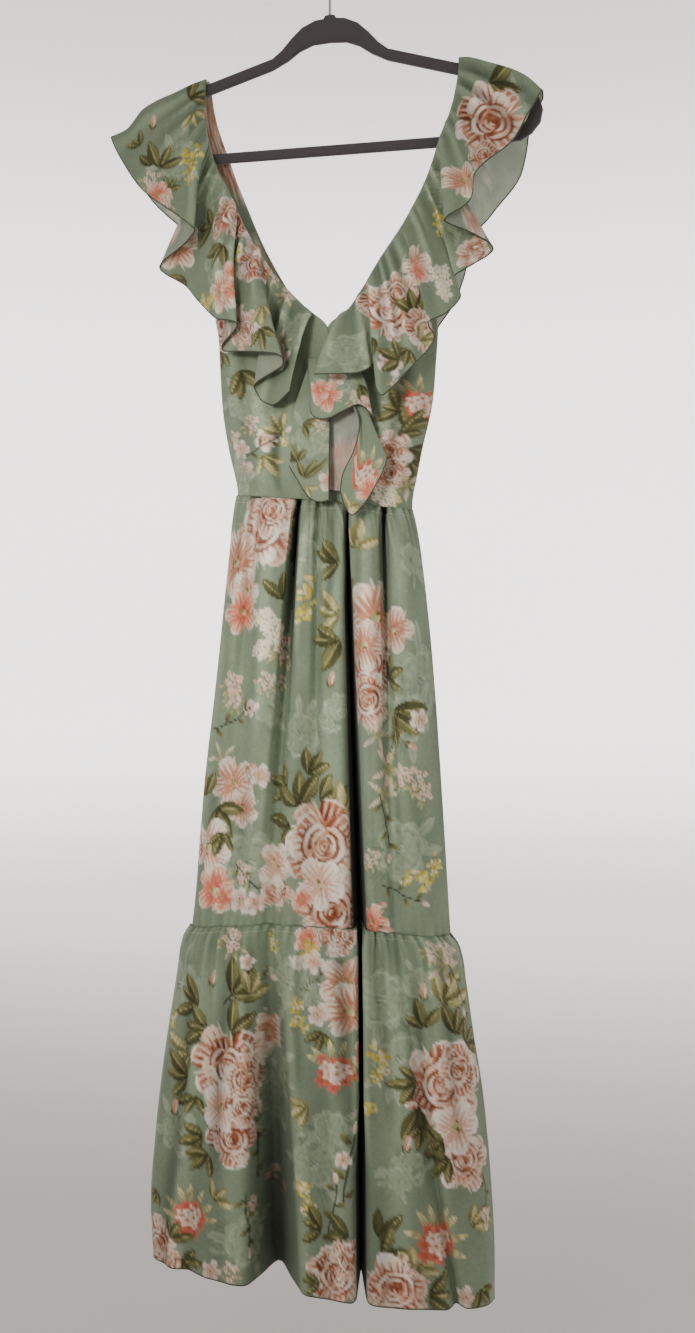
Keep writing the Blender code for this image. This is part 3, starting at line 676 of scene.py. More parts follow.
class Cloth:
    """A panel as a fine grid: points, flat coordinates in mm and painted colour."""

    def __init__(self, name, grid, step, gathered=0.0, level=False):
        self.name = name
        rough = np.array([[tuple(p) + (0.0,) * (4 - len(p)) for p in row] for row in grid])
        fine = finer(finer(rough, 0, step), 1, step)
        self.points, self.sunk = fine[..., :3], np.maximum(fine[..., 3], 0.0)
        self.flatten(gathered, level)
        smooth = self.points.copy()
        self.crease()
        self.gather()
        self.normals = normals_of(self.points)
        self.relief = np.sum((self.points - smooth) * normals_of(smooth), axis=2)
        self.wide = np.zeros(self.sunk.shape)
        for x_left, x_right, z_open in WIDE_FOLDS.get(name, []):
            x, z = self.points[..., 0], self.points[..., 2]
            within = (x > x_left) & (x < x_right)
            opened = np.clip((z_open - z) / WIDE_FOLD_RISE, 0, 1)
            self.wide = np.maximum(self.wide, within * opened)

    def flatten(self, gathered, level):
        """Flat coordinates in mm: u across and v down the cloth.

        A level panel takes them from its place. Elsewhere u is the length along each row from
        its middle, drawn by the gathered share toward the length along the longest row.
        """
        p = self.points
        self.level = level
        if level:
            self.u, self.v = p[..., 0].copy(), -p[..., 2]
            self.along, self.down = self.u, self.v
            self.cut = (float(np.ptp(self.u)), float(np.ptp(self.v)))
            return
        across = np.linalg.norm(np.diff(p, axis=1), axis=2)
        down = np.linalg.norm(np.diff(p, axis=0), axis=2)
        rows, columns = p.shape[:2]
        along = np.hstack([np.zeros((rows, 1)), np.cumsum(across, axis=1)])
        longest = along[np.argmax(along[:, -1])]
        self.v = np.vstack([np.zeros((1, columns)), np.cumsum(down, axis=0)])
        self.along, self.down = along, self.v
        middle = columns // 2
        self.u = ((along - along[:, middle:middle + 1]) * (1 - gathered)
                  + (longest - longest[middle]) * gathered)
        self.cut = (float(longest[-1]), float(np.ptp(self.v)))

    def crease(self):
        """Lay the tabled creases on the panel as soft troughs and ridges."""
        for x_top, x_foot, z_top, z_foot, reach, share in PINCHES.get(self.name, []):
            t = (self.points[..., 2] - z_top) / (z_foot - z_top)
            off = self.points[..., 0] - (x_top + (x_foot - x_top) * np.clip(t, 0, 1))
            fade = np.clip((1 - t) / 0.3, 0, 1) * np.clip(t / 0.1 + 0.5, 0, 1)
            near = np.exp(-(off / reach) ** 4) * fade
            self.points[..., 0] -= off * share * near
        p, out = self.points, normals_of(self.points)
        rise = np.zeros(p.shape[:2])
        for x_top, x_foot, z_top, z_foot, half, height in CREASES.get(self.name, []):
            t = (p[..., 2] - z_top) / (z_foot - z_top)
            line = x_top + (x_foot - x_top) * t + CREASE_SWAY * np.sin(t * 5 + x_top)
            fade = np.clip(t / 0.12, 0, 1) * np.clip((1 - t) / 0.3, 0, 1)
            if z_foot <= HEM_Z + CREASE_TO_HEM:
                fade = np.clip(t / 0.2, 0, 1) * (t < 1.2)
            rise += height * np.exp(-((p[..., 0] - line) / half) ** 2) * fade
        rise *= np.clip(1.0 - self.sunk / CREASE_SUNK, 0, 1)
        self.points = p + out * rise[..., None]

    def gather(self):
        """Pucker the cloth along a gathered edge, unevenly, dying away down the cloth."""
        out = normals_of(self.points)
        rise = np.zeros(self.points.shape[:2])
        u = np.abs(self.u - self.u[:, :1])
        share = u / np.maximum(u.max(axis=1, keepdims=True), 1e-6)
        reach = np.abs(self.v - self.v[:1])
        for n, (edge, spacing, height, length) in enumerate(GATHERS.get(self.name, [])):
            rand = random.Random(len(self.name) * 10 + n).uniform
            away = reach if edge == "top" else reach[-1:] - reach
            width = u[0].max() if edge == "top" else u[-1].max()
            count = max(2, int(width / spacing))
            for k in range(count):
                middle = (k + 0.5 + rand(-0.38, 0.38)) / count
                tall, fall = height * rand(0.3, 1.2), length * rand(0.35, 1.0) ** 2 * 1.7
                wide = rand(0.22, 0.36) / count
                pucker = np.exp(-((share - middle) / wide) ** 2)
                rise += tall * pucker * np.exp(-(away / fall) ** 1.5)
            if "skirt" not in self.name:
                rise *= 1.0 - 0.95 * np.exp(-away / SEWN_HOLD)
        self.points = self.points + out * rise[..., None]


def photo_place(points):
    """Where points in mm land in the photograph, in its pixels, and how far off they are."""
    rel = points * MM - np.array(CAMERA_PLACE)
    ahead = np.array([-math.sin(CAMERA_TURN), math.cos(CAMERA_TURN), 0.0])
    right = np.array([math.cos(CAMERA_TURN), math.sin(CAMERA_TURN), 0.0])
    far = rel @ ahead
    focal = LENS / SENSOR * PHOTO_HIGH
    return PHOTO_WIDE / 2 + rel @ right / far * focal, PHOTO_HIGH / 2 - rel[..., 2] / far * focal, far


# Print

# How softly a brush mark ends, in mm, and how far a motif may reach, in its radii.
EDGE_SOFT, MOTIF_REACH = 1.0, 1.5
# Cells to each side that give the directions of the cloth round a motif: rows and columns.
ROUND_ROWS, ROUND_COLUMNS = 4, 3


def flat_round(cloth, at):
    """Flat coordinates in mm round one cell of a cloth: across and down as the camera sees them.

    Lengths are taken along the cell's own row and column, and set square to each other.
    """
    row, column = at
    across = cloth.along - cloth.along[:, column:column + 1]
    down = cloth.down - cloth.down[row:row + 1, :]
    if cloth.level:
        return across, down
    rows, columns = cloth.points.shape[:2]
    r0, r1 = max(row - ROUND_ROWS, 0), min(row + ROUND_ROWS, rows - 1)
    c0, c1 = max(column - ROUND_COLUMNS, 0), min(column + ROUND_COLUMNS, columns - 1)
    along_row = cloth.points[row, c1] - cloth.points[row, c0]
    along_row /= max(np.linalg.norm(along_row), 1e-6)
    along_column = cloth.points[r1, column] - cloth.points[r0, column]
    along_column /= max(np.linalg.norm(along_column), 1e-6)
    lean = float(np.clip(along_row @ along_column, -0.8, 0.8))
    x, y = across + down * lean, down * math.sqrt(1 - lean * lean)
    level = np.array([math.cos(CAMERA_TURN), math.sin(CAMERA_TURN), 0.0])
    square = along_column - along_row * lean
    square /= max(np.linalg.norm(square), 1e-6)
    turn = math.atan2(float(level @ square), float(level @ along_row))
    return x * math.cos(turn) + y * math.sin(turn), y * math.cos(turn) - x * math.sin(turn)


class Brush:
    """Paints one motif: marks are given in radii of the motif, x across and y down."""

    def __init__(self, cloth, at, shift, size, turn, seed):
        self.cloth, self.random = cloth, random.Random(seed)
        across, down = flat_round(cloth, at)
        near_across = np.abs(across - shift[0]) < size * MOTIF_REACH
        near_down = np.abs(down - shift[1]) < size * MOTIF_REACH
        self.near = np.nonzero(near_across & near_down)
        du, dv = across[self.near] - shift[0], down[self.near] - shift[1]
        c, s = math.cos(turn), math.sin(turn)
        self.p, self.q = (du * c + dv * s) / size, (dv * c - du * s) / size
        self.size = size
        self.rgb = cloth.rgb[self.near]

    def lay(self, inside, within, t, base, tip, cover):
        """Blend one stroke in: inside is the distance in from its edge in mm, t its run of colour."""
        shown = (np.clip(inside / EDGE_SOFT + 0.4, 0, 1) * within * cover)[:, None]
        t = np.clip(t, 0, 1)[:, None]
        self.rgb = self.rgb * (1 - shown) + (linear(base) * (1 - t) + linear(tip) * t) * shown

    def mark(self, x, y, long, wide, turn, base, tip, pointed=False, streak=0.0, cover=1.0):
        """One oval or pointed brush mark, coloured from its base to its tip."""
        c, s = math.cos(turn), math.sin(turn)
        dx, dy = self.p - x, self.q - y
        a, b = (dx * c + dy * s) / long, (dy * c - dx * s) / wide
        body = np.maximum(1.0 - a * a, 0.0)
        half = body if pointed else np.sqrt(body)
        t = 0.5 + 0.5 * a + streak * np.sin(b * 8.0 + x * 31.0 + a * 1.5)
        self.lay((half - np.abs(b)) * wide * self.size, np.abs(a) < 1, t, base, tip, cover)

    def arc(self, x, y, radius, middle, spread, wide, base, tip, cover=1.0):
        """Curved stroke along part of a circle, thick in its middle and thin at its ends."""
        dx, dy = self.p - x, self.q - y
        a = (np.mod(np.arctan2(dy, dx) - middle + math.pi, 2 * math.pi) - math.pi) / spread
        half = wide * np.maximum(1.0 - a * a, 0.0)
        inside = (half - np.abs(np.hypot(dx, dy) - radius)) * self.size
        self.lay(inside, np.abs(a) < 1, 0.5 + 0.5 * a, base, tip, cover)

    def done(self):
        self.cloth.rgb[self.near] = self.rgb


# Rose rings: petals in the ring, how far out they lie, their length and half width. The first
# OPEN_RINGS have streaked open petals, the others curled ones.
ROSE_RINGS = (
    (7, 0.60, 0.46, 0.34), (5, 0.42, 0.44, 0.34), (5, 0.27, 0.32, 0.27), (3, 0.13, 0.22, 0.19),
)
OPEN_RINGS = 2


def polar(far, angle, x=0.0, y=0.0):
    """Point at a distance and angle from another one."""
    return x + far * math.cos(angle), y + far * math.sin(angle)


def beside(x, y, turn, ahead, aside):
    """Point ahead of and beside another one, for a mark that lies along turn."""
    c, s = math.cos(turn), math.sin(turn)
    return x + ahead * c - aside * s, y + ahead * s + aside * c


def petal(brush, x, y, long, wide, turn, base, tip, dark, light):
    """One petal: a body with dark strokes up from its foot and light ones at its tip."""
    rand = brush.random.uniform
    brush.mark(x, y, long, wide, turn, base, tip, streak=0.1)
    for m in range(4):
        side = (m - 1.5) * 0.44 * wide + rand(-0.05, 0.05) * wide
        fan = turn + (m - 1.5) * 0.15 + rand(-0.05, 0.05)
        foot = -rand(0.05, 0.25) * long
        brush.mark(*beside(x, y, turn, foot, side), long * rand(0.65, 0.9), wide * rand(0.13, 0.2),
                   fan, dark, base, True, cover=0.9)
        side += 0.22 * wide
        up = rand(0.12, 0.3) * long
        brush.mark(*beside(x, y, turn, up, side), long * rand(0.6, 0.8), wide * rand(0.09, 0.14),
                   fan, tip, light, True, cover=0.9)
    brush.arc(*polar(-0.1 * long, turn, x, y), long * 1.02, turn + rand(-0.15, 0.15), 0.6, 0.045,
              light, light, 0.95)


def rose(brush):
    """Full rose: streaked outer petals, and curled inner ones that close round a dark heart."""
    rand, pick = brush.random.uniform, brush.random.choice
    warm = ((TERRACOTTA, BLUSH), (ROSE, SHELL_PINK), (BRICK, ROSE), (TERRACOTTA, SHELL_PINK),
            (ROSE, CREAM))
    cool = ((BLUSH, CREAM), (ROSE, CREAM), (BLUSH, WHITE), (ROSE, SHELL_PINK), (TERRACOTTA, CREAM))
    for ring, (count, far, long, wide) in enumerate(ROSE_RINGS):
        start = rand(0, 6.3)
        for k in range(count):
            angle = start + 2 * math.pi * k / count + rand(-0.25, 0.25)
            x, y = polar(far * rand(0.85, 1.12), angle)
            base, tip = pick(cool if k % 2 else warm)
            if ring < OPEN_RINGS:
                petal(brush, x, y, long, wide, angle + rand(-0.35, 0.35), base, tip,
                      pick((BRICK, TERRACOTTA)), pick((WHITE, CREAM)))
                continue
            brush.mark(x, y, long, wide, angle, base, tip, streak=0.12)
            cx, cy = x * 0.5, y * 0.5
            brush.arc(cx, cy, long * 0.75, angle + rand(-0.4, 0.4), rand(0.7, 1.1), rand(0.05, 0.08),
                      BRICK, TERRACOTTA, 0.9)
            brush.arc(cx, cy, long * 1.05, angle + rand(-0.3, 0.3), rand(0.9, 1.3), rand(0.05, 0.08),
                      tip, pick((WHITE, CREAM)), 0.95)
            brush.arc(cx, cy, long * 1.3, angle + rand(-0.6, 0.6), rand(0.5, 0.9), rand(0.03, 0.05),
                      BRICK, TERRACOTTA, 0.85)
    for k in range(5):
        base, tip = ((BRICK, TERRACOTTA), (CREAM, SHELL_PINK), (TERRACOTTA, ROSE))[k % 3]
        brush.arc(0.03 * (k % 3), 0.0, 0.04 + 0.035 * k, k * 2.2, 1.2, 0.034, base, tip, 0.9)


def blossom(brush, base=BLUSH, tip=CREAM, heart=ROSE, petals=5):
    """Open flower with broad streaked petals round a dotted centre."""
    rand = brush.random.uniform
    for k in range(petals):
        angle = 2 * math.pi * k / petals + rand(-0.2, 0.2)
        far, wide = rand(0.44, 0.56), rand(0.32, 0.42)
        petal(brush, *polar(far, angle), 0.5, wide, angle, base, tip, heart, WHITE)
    brush.mark(0, 0, 0.15, 0.12, 0, OLIVE_LIGHT, BUTTER)
    for k in range(7):
        brush.mark(rand(-0.2, 0.2), rand(-0.2, 0.2), 0.045, 0.045, 0, OCHRE, OLIVE_DARK)


def pale_blossom(brush):
    blossom(brush, SHELL_PINK, WHITE, BLUSH)


def coral_blossom(brush):
    blossom(brush, CORAL, PEACH, CORAL_DEEP)


def bunch(brush, outer, inner, count, spread, leafy=True):
    """Bunch of small flowers, outer ones in one colour and inner ones in another."""
    rand = brush.random.uniform
    if leafy:
        for k in range(7):
            angle = -math.pi / 2 + (k - 3) * 0.5 + rand(-0.15, 0.15)
            brush.mark(*polar(0.85, angle), 0.42, 0.12, angle, OLIVE, BUTTER, True, 0.2)
    for k in range(count)[::-1]:
        angle, far = k * 2.4, spread * math.sqrt((k + 0.5) / count)
        x, y = far * math.cos(angle) * rand(0.85, 1.1), far * math.sin(angle) * rand(0.85, 1.1)
        base, tip = inner if k < count * 0.4 else outer
        big = rand(0.85, 1.25)
        for m in range(5):
            side = m * 2 * math.pi / 5 + k
            brush.mark(*polar(0.11 * big, side, x, y), 0.13 * big, 0.08 * big, side, base, tip)
        brush.mark(x, y, 0.05, 0.05, 0, OCHRE, BRICK, cover=0.9)


def coral_bunch(brush):
    bunch(brush, (CORAL_DEEP, CORAL), (BLUSH, WHITE), 15, 0.62)


def white_bunch(brush):
    bunch(brush, (CREAM, WHITE), (BUTTER, WHITE), 13, 0.75, False)


def peach_bunch(brush):
    """Cream flowers with peach hearts on dark stems with a few thin leaves."""
    rand = brush.random.uniform
    for k in range(5):
        angle = math.pi / 2 + (k - 2) * 0.6 + rand(-0.2, 0.2)
        brush.mark(*polar(0.6, angle), 0.7, 0.035, angle, TWIG, OLIVE_LIGHT)
        angle += 0.35
        brush.mark(*polar(0.9, angle), 0.4, 0.09, angle, OLIVE, BUTTER, True)
    bunch(brush, (PEACH, CREAM), (BLUSH, WHITE), 8, 0.72, False)


def yellow_sprig(brush):
    """Loose spray of small yellow florets on thin stems."""
    rand = brush.random.uniform
    tones = ((OCHRE, YELLOW), (YELLOW, BUTTER), (YELLOW, YELLOW), (BUTTER, CREAM))
    for k in range(5):
        brush.mark(rand(-0.2, 0.2), 0.2, 0.7, 0.025, -math.pi / 2 + rand(-0.5, 0.5), OLIVE,
                   OLIVE_LIGHT)
    for k in range(26):
        far, angle = rand(0, 0.85), rand(0, 6.3)
        base, tip = brush.random.choice(tones)
        x, y = polar(far, angle)
        brush.mark(x * 0.75, y, 0.17, 0.12, rand(0, 3), base, tip)


def leaves(brush, count=3, base=OLIVE_DARK, tip=OLIVE, light=OLIVE_LIGHT):
    """Fan of pointed leaves: a dark half, a lighter half, a pale mid rib and side veins."""
    rand = brush.random.uniform
    for k in range(count):
        angle = (k - (count - 1) / 2) * 0.8 + rand(-0.2, 0.2)
        long = 0.68 * rand(0.75, 1.1)
        wide = long * rand(0.36, 0.46)
        x, y = polar(long, angle)
        brush.mark(x, y, long, wide, angle, base, tip, True, 0.1)
        brush.mark(*beside(x, y, angle, 0.0, 0.36 * wide), long * 0.84, wide * 0.5, angle,
                   tip, light, True, 0.15, 0.85)
        for m in range(4):
            foot = polar((0.45 + 0.35 * m) * long, angle)
            for side in (-0.75, 0.75):
                vein = angle + side
                brush.mark(*polar(0.1 * long, vein, *foot), long * 0.26, 0.016, vein, light, tip,
                           cover=0.7)
        brush.mark(x, y, long * 0.96, 0.02, angle, light, BUTTER, cover=0.8)


def dark_leaf(brush):
    leaves(brush, 2, OLIVE_DARK, OLIVE, OLIVE)


def pale_leaves(brush):
    leaves(brush, 3, OLIVE, OLIVE_LIGHT, BUTTER)


def long_leaves(brush):
    """Slim lily leaves and petals on a stem."""
    for k in range(5):
        angle = k * 1.25
        brush.mark(*polar(0.45, angle), 0.5, 0.11, angle, OLIVE_LIGHT, CREAM, True, 0.2)


def twig(brush):
    """Thin bent stem with small leaves and a white bud at its end."""
    rand = brush.random.uniform
    x, y, angle = -0.95, 0.3, -0.35
    for k in range(9):
        angle += rand(-0.2, 0.24)
        brush.mark(*polar(0.1, angle, x, y), 0.15, 0.028, angle, TWIG, TWIG)
        if k % 2:
            side = angle + (1.0 if k % 4 == 1 else -1.0)
            brush.mark(*polar(0.22, side, x, y), 0.2, 0.075, side, OLIVE_DARK, OLIVE_LIGHT, True)
        x, y = polar(0.21, angle, x, y)
    brush.mark(x, y, 0.17, 0.09, angle, SHELL_PINK, WHITE)


def bud(brush):
    """Closed bud on a short stem."""
    brush.mark(0, 0.6, 0.6, 0.05, math.pi / 2, OLIVE, OLIVE_LIGHT)
    brush.mark(0, -0.2, 0.5, 0.24, -math.pi / 2, ROSE, SHELL_PINK, streak=0.25)
    brush.mark(0.08, -0.1, 0.35, 0.08, -math.pi / 2, CREAM, WHITE)
    for side in (-0.5, 0.5):
        brush.mark(side * 0.4, 0.25, 0.28, 0.08, -math.pi / 2 + side, OLIVE_DARK, OLIVE, True)


def ghost(brush):
    """Tone-on-tone rose and leaves, a little lighter and darker than the ground."""
    rand = brush.random.uniform
    for k in range(7):
        angle = rand(0, 6.3)
        tone = (SAGE_DARK, SAGE) if k % 2 else (SAGE, SAGE_PALE)
        brush.mark(*polar(0.95, angle), 0.42, 0.15, angle, *tone, True, 0.3, 0.7)
    for k in range(7):
        angle = k * 0.9 + rand(-0.2, 0.2)
        x, y = polar(0.42, angle)
        brush.mark(x, y, 0.4, 0.28, angle, SAGE, SAGE_LIGHT, False, 0.35, 0.75)
        brush.arc(x * 0.7, y * 0.7, rand(0.3, 0.42), angle, 0.9, 0.03, SAGE_PALE, SAGE_LIGHT, 0.8)
        brush.arc(x * 0.7, y * 0.7, rand(0.18, 0.28), angle, 0.7, 0.025, SAGE_DARK, SAGE_DARK, 0.6)
    brush.mark(0, 0, 0.16, 0.14, 0, SAGE_DARK, SAGE_PALE, False, 0.4, 0.8)


KINDS = {
    "rose": rose, "blossom": blossom, "pale": pale_blossom, "coral": coral_blossom,
    "coral_bunch": coral_bunch, "white_bunch": white_bunch, "peach_bunch": peach_bunch,
    "yellow": yellow_sprig, "leaves": leaves, "dark_leaf": dark_leaf, "pale_leaves": pale_leaves,
    "lily": long_leaves, "twig": twig, "bud": bud, "ghost": ghost,
}

# Motifs on the front, by where their middle shows in the photograph, in its pixels.
# kind, photo x, photo y, radius in mm, turn in degrees
PRINT = {
    "skirt_upper_front": [
        ("ghost", 272, 707, 26, 0), ("ghost", 422, 681, 46, 20), ("ghost", 410, 719, 34, 80),
        ("ghost", 337, 707, 18, 0), ("ghost", 326, 719, 14, 40), ("ghost", 300, 560, 34, 10),
        ("ghost", 250, 865, 44, 30), ("ghost", 412, 560, 22, 0), ("ghost", 400, 850, 40, 0),
        ("ghost", 300, 735, 30, 60), ("pale_leaves", 285, 517, 30, -30), ("rose", 262, 528, 42, 0),
        ("rose", 271, 510, 30, 60), ("blossom", 236, 563, 36, 20), ("pale", 248, 590, 24, 0),
        ("coral", 243, 612, 25, 40), ("coral", 219, 640, 16, 0), ("dark_leaf", 283, 600, 24, -100),
        ("white_bunch", 264, 619, 17, 0), ("white_bunch", 275, 631, 18, 50),
        ("white_bunch", 262, 650, 15, 90), ("peach_bunch", 284, 648, 22, 0),
        ("peach_bunch", 267, 681, 13, 0), ("peach_bunch", 282, 682, 10, 0),
        ("yellow", 310, 592, 19, 0), ("yellow", 303, 613, 15, 60),
        ("peach_bunch", 234, 683, 16, 0), ("peach_bunch", 235, 700, 13, 40),
        ("pale", 250, 708, 9, 0), ("twig", 238, 724, 34, 10), ("lily", 222, 758, 20, 30),
        ("leaves", 340, 562, 26, 190), ("pale_leaves", 356, 549, 24, -80),
        ("leaves", 352, 594, 20, 240), ("pale_leaves", 340, 614, 24, 180),
        ("leaves", 341, 640, 26, 170), ("blossom", 376, 618, 38, 15),
        ("blossom", 393, 630, 24, 70), ("rose", 371, 662, 34, 30), ("rose", 368, 700, 30, 80),
        ("blossom", 364, 645, 26, 0), ("bud", 331, 681, 14, 15), ("leaves", 388, 680, 22, -20),
        ("leaves", 393, 712, 36, 40), ("lily", 378, 735, 22, 0), ("twig", 398, 735, 30, 110),
        ("pale", 420, 720, 12, 0), ("bud", 410, 745, 12, 120), ("lily", 388, 768, 28, 10),
        ("lily", 384, 795, 24, 70), ("twig", 384, 830, 34, 100), ("peach_bunch", 404, 776, 15, 0),
        ("peach_bunch", 418, 780, 16, 0), ("peach_bunch", 426, 793, 13, 60),
        ("yellow", 436, 864, 16, 0), ("yellow", 424, 880, 19, 30), ("yellow", 409, 879, 13, 70),
        ("twig", 404, 895, 28, 40), ("peach_bunch", 372, 858, 12, 0), ("bud", 379, 906, 12, 80),
        ("coral", 371, 922, 20, 0), ("bud", 384, 930, 16, 100), ("blossom", 234, 783, 28, 30),
        ("blossom", 242, 808, 20, 90), ("pale", 260, 776, 13, 0), ("bud", 250, 768, 12, 60),
        ("leaves", 216, 808, 26, 60), ("leaves", 207, 795, 24, 250), ("pale", 208, 848, 32, 10),
        ("rose", 200, 838, 22, 0), ("leaves", 222, 832, 20, 100), ("coral", 214, 890, 26, 0),
        ("coral", 223, 898, 14, 60), ("peach_bunch", 243, 872, 14, 0), ("pale", 241, 901, 14, 0),
        ("pale", 255, 903, 12, 30), ("twig", 250, 880, 24, 60), ("leaves", 308, 775, 28, -60),
        ("leaves", 287, 788, 26, 210), ("leaves", 299, 807, 32, -100),
        ("leaves", 320, 801, 26, -20), ("dark_leaf", 291, 826, 26, 160),
        ("pale_leaves", 342, 816, 26, -50), ("rose", 277, 886, 22, 0), ("pale", 277, 864, 24, 10),
        ("rose", 323, 846, 44, 10), ("rose", 333, 912, 44, 80), ("pale", 320, 884, 28, 20),
        ("coral", 302, 900, 12, 0),
    ],
    "skirt_lower_front": [
        ("ghost", 180, 1133, 32, 0), ("ghost", 277, 1061, 34, 30), ("ghost", 314, 1165, 34, 50),
        ("ghost", 381, 999, 38, 10), ("ghost", 266, 1104, 40, 20), ("ghost", 408, 1170, 26, 0),
        ("ghost", 290, 985, 34, 0), ("ghost", 400, 1060, 34, 60), ("ghost", 330, 1130, 26, 0),
        ("ghost", 180, 985, 36, 0), ("ghost", 250, 1240, 36, 0), ("ghost", 420, 985, 22, 0),
        ("peach_bunch", 232, 940, 18, 0), ("yellow", 274, 941, 14, 0), ("coral", 308, 940, 16, 0),
        ("yellow", 310, 954, 18, 0), ("pale", 313, 962, 12, 0), ("rose", 338, 934, 22, 0),
        ("white_bunch", 297, 962, 10, 0), ("twig", 240, 975, 38, -40), ("pale", 247, 962, 9, 0),
        ("bud", 213, 980, 16, 20), ("twig", 345, 958, 20, 0), ("leaves", 199, 1004, 26, 200),
        ("leaves", 232, 996, 28, -40), ("pale_leaves", 251, 996, 26, -70),
        ("leaves", 207, 1028, 26, 190), ("leaves", 231, 1034, 34, -30),
        ("pale_leaves", 190, 1052, 26, 160), ("leaves", 188, 1077, 28, 180),
        ("leaves", 196, 1096, 22, 120), ("blossom", 269, 1032, 26, 30), ("pale", 258, 1050, 20, 0),
        ("rose", 228, 1068, 42, 0), ("rose", 246, 1080, 26, 60), ("rose", 232, 1139, 30, 40),
        ("pale", 221, 1108, 26, 0), ("rose", 243, 1108, 20, 20), ("bud", 175, 1109, 15, 10),
        ("leaves", 203, 1136, 22, 170), ("leaves", 208, 1153, 24, 130),
        ("twig", 262, 1140, 40, -60), ("peach_bunch", 272, 1173, 16, 0),
        ("peach_bunch", 284, 1188, 12, 0), ("yellow", 301, 1190, 16, 0),
        ("yellow", 308, 1208, 11, 40), ("blossom", 347, 984, 30, 0),
        ("blossom", 352, 1012, 28, 40), ("twig", 317, 985, 18, 0), ("yellow", 298, 1008, 13, 0),
        ("yellow", 300, 1025, 13, 60), ("pale", 318, 1014, 12, 0), ("leaves", 322, 1032, 16, 100),
        ("coral_bunch", 334, 1073, 27, 20), ("coral", 359, 1052, 16, 0),
        ("pale_leaves", 307, 1104, 20, 140), ("yellow", 381, 1056, 19, 0),
        ("yellow", 380, 1075, 13, 30), ("yellow", 369, 1109, 12, 0),
        ("peach_bunch", 360, 1130, 14, 0), ("twig", 345, 1165, 42, -70), ("pale", 343, 1160, 9, 0),
        ("twig", 334, 1208, 34, -60), ("leaves", 322, 1229, 20, 190),
        ("coral_bunch", 191, 1217, 28, 0), ("pale_leaves", 213, 1200, 18, -40),
        ("rose", 158, 1244, 30, 0), ("rose", 168, 1262, 18, 0), ("leaves", 170, 1238, 20, -60),
        ("leaves", 180, 1263, 22, 0), ("pale", 211, 1271, 12, 0),
        ("peach_bunch", 231, 1272, 12, 0), ("peach_bunch", 254, 1203, 12, 0),
        ("twig", 249, 1225, 34, 100), ("dark_leaf", 349, 1238, 24, 200),
        ("rose", 337, 1277, 32, 0), ("rose", 350, 1262, 22, 0), ("leaves", 320, 1284, 18, 180),
        ("dark_leaf", 378, 1238, 26, -60), ("leaves", 382, 1256, 26, -20),
        ("rose", 396, 1290, 36, 0), ("pale_leaves", 417, 1272, 22, -50),
        ("leaves", 428, 1297, 26, 0), ("pale", 465, 1298, 12, 0),
        ("coral_bunch", 440, 1243, 32, 10), ("pale_leaves", 471, 1226, 22, -40),
        ("rose", 443, 1085, 44, 0), ("rose", 460, 1070, 26, 0), ("rose", 464, 1160, 30, 30),
        ("pale", 456, 1127, 28, 0), ("leaves", 424, 1028, 22, -100),
        ("pale_leaves", 443, 1004, 28, -60), ("leaves", 456, 1035, 28, -80),
        ("leaves", 466, 1045, 24, -50), ("leaves", 416, 1080, 24, 170),
        ("dark_leaf", 418, 1106, 28, 100), ("leaves", 420, 1126, 18, 90),
        ("leaves", 444, 1141, 24, 160), ("leaves", 449, 1158, 24, 140), ("bud", 407, 1146, 16, 15),
        ("ghost", 400, 1180, 18, 0), ("peach_bunch", 433, 951, 12, 0),
        ("peach_bunch", 450, 953, 14, 0), ("lily", 443, 966, 24, 0), ("bud", 424, 994, 15, 0),
        ("twig", 461, 985, 28, 60), ("twig", 487, 1200, 28, 90), ("peach_bunch", 486, 1215, 12, 0),
        ("leaves", 480, 1290, 18, 60), ("yellow", 173, 1018, 12, 0),
        ("leaves", 157, 1190, 16, 120),
    ],
    "bodice_front_left": [
        ("ghost", 243, 402, 26, 0), ("ghost", 262, 415, 20, 60), ("rose", 222, 328, 26, 0),
        ("leaves", 222, 352, 22, 110), ("leaves", 240, 370, 24, 80),
        ("peach_bunch", 252, 424, 12, 0), ("pale", 266, 440, 13, 20),
        ("peach_bunch", 235, 438, 10, 0), ("twig", 270, 445, 30, 0),
        ("pale_leaves", 262, 456, 20, 60), ("pale_leaves", 282, 432, 18, -120),
        ("pale", 241, 450, 11, 0), ("pale", 245, 470, 12, 40), ("yellow", 284, 440, 8, 0),
        ("rose", 214, 130, 26, 0), ("rose", 224, 145, 20, 60), ("ghost", 240, 480, 22, 0),
    ],
    "bodice_front_right": [
        ("ghost", 395, 425, 22, 0), ("coral_bunch", 421, 405, 25, 0),
        ("leaves", 406, 428, 20, -60), ("dark_leaf", 398, 436, 22, -30),
        ("dark_leaf", 409, 448, 24, 20), ("leaves", 409, 462, 24, 40), ("rose", 390, 451, 20, 0),
        ("rose", 390, 473, 16, 0), ("white_bunch", 385, 496, 16, 0), ("yellow", 396, 497, 10, 0),
        ("lily", 408, 485, 18, 90), ("leaves", 400, 410, 20, 200),
    ],
    "ruffle_left": [
        ("ghost", 180, 160, 30, 0), ("ghost", 215, 260, 30, 20), ("ghost", 300, 330, 30, 0),
        ("ghost", 210, 190, 24, 0), ("bud", 153, 124, 13, 10), ("leaves", 141, 145, 13, 220),
        ("dark_leaf", 152, 166, 22, 250), ("leaves", 160, 168, 26, -70),
        ("leaves", 168, 190, 16, -60), ("peach_bunch", 152, 180, 14, 0),
        ("coral", 158, 195, 16, 0), ("peach_bunch", 165, 202, 13, 0),
        ("leaves", 190, 100, 22, -30), ("pale_leaves", 193, 112, 18, 70),
        ("yellow", 194, 152, 18, 30), ("yellow", 192, 168, 14, 0), ("yellow", 189, 180, 10, 0),
        ("blossom", 177, 247, 26, 60), ("blossom", 183, 232, 16, 0), ("leaves", 181, 227, 12, -80),
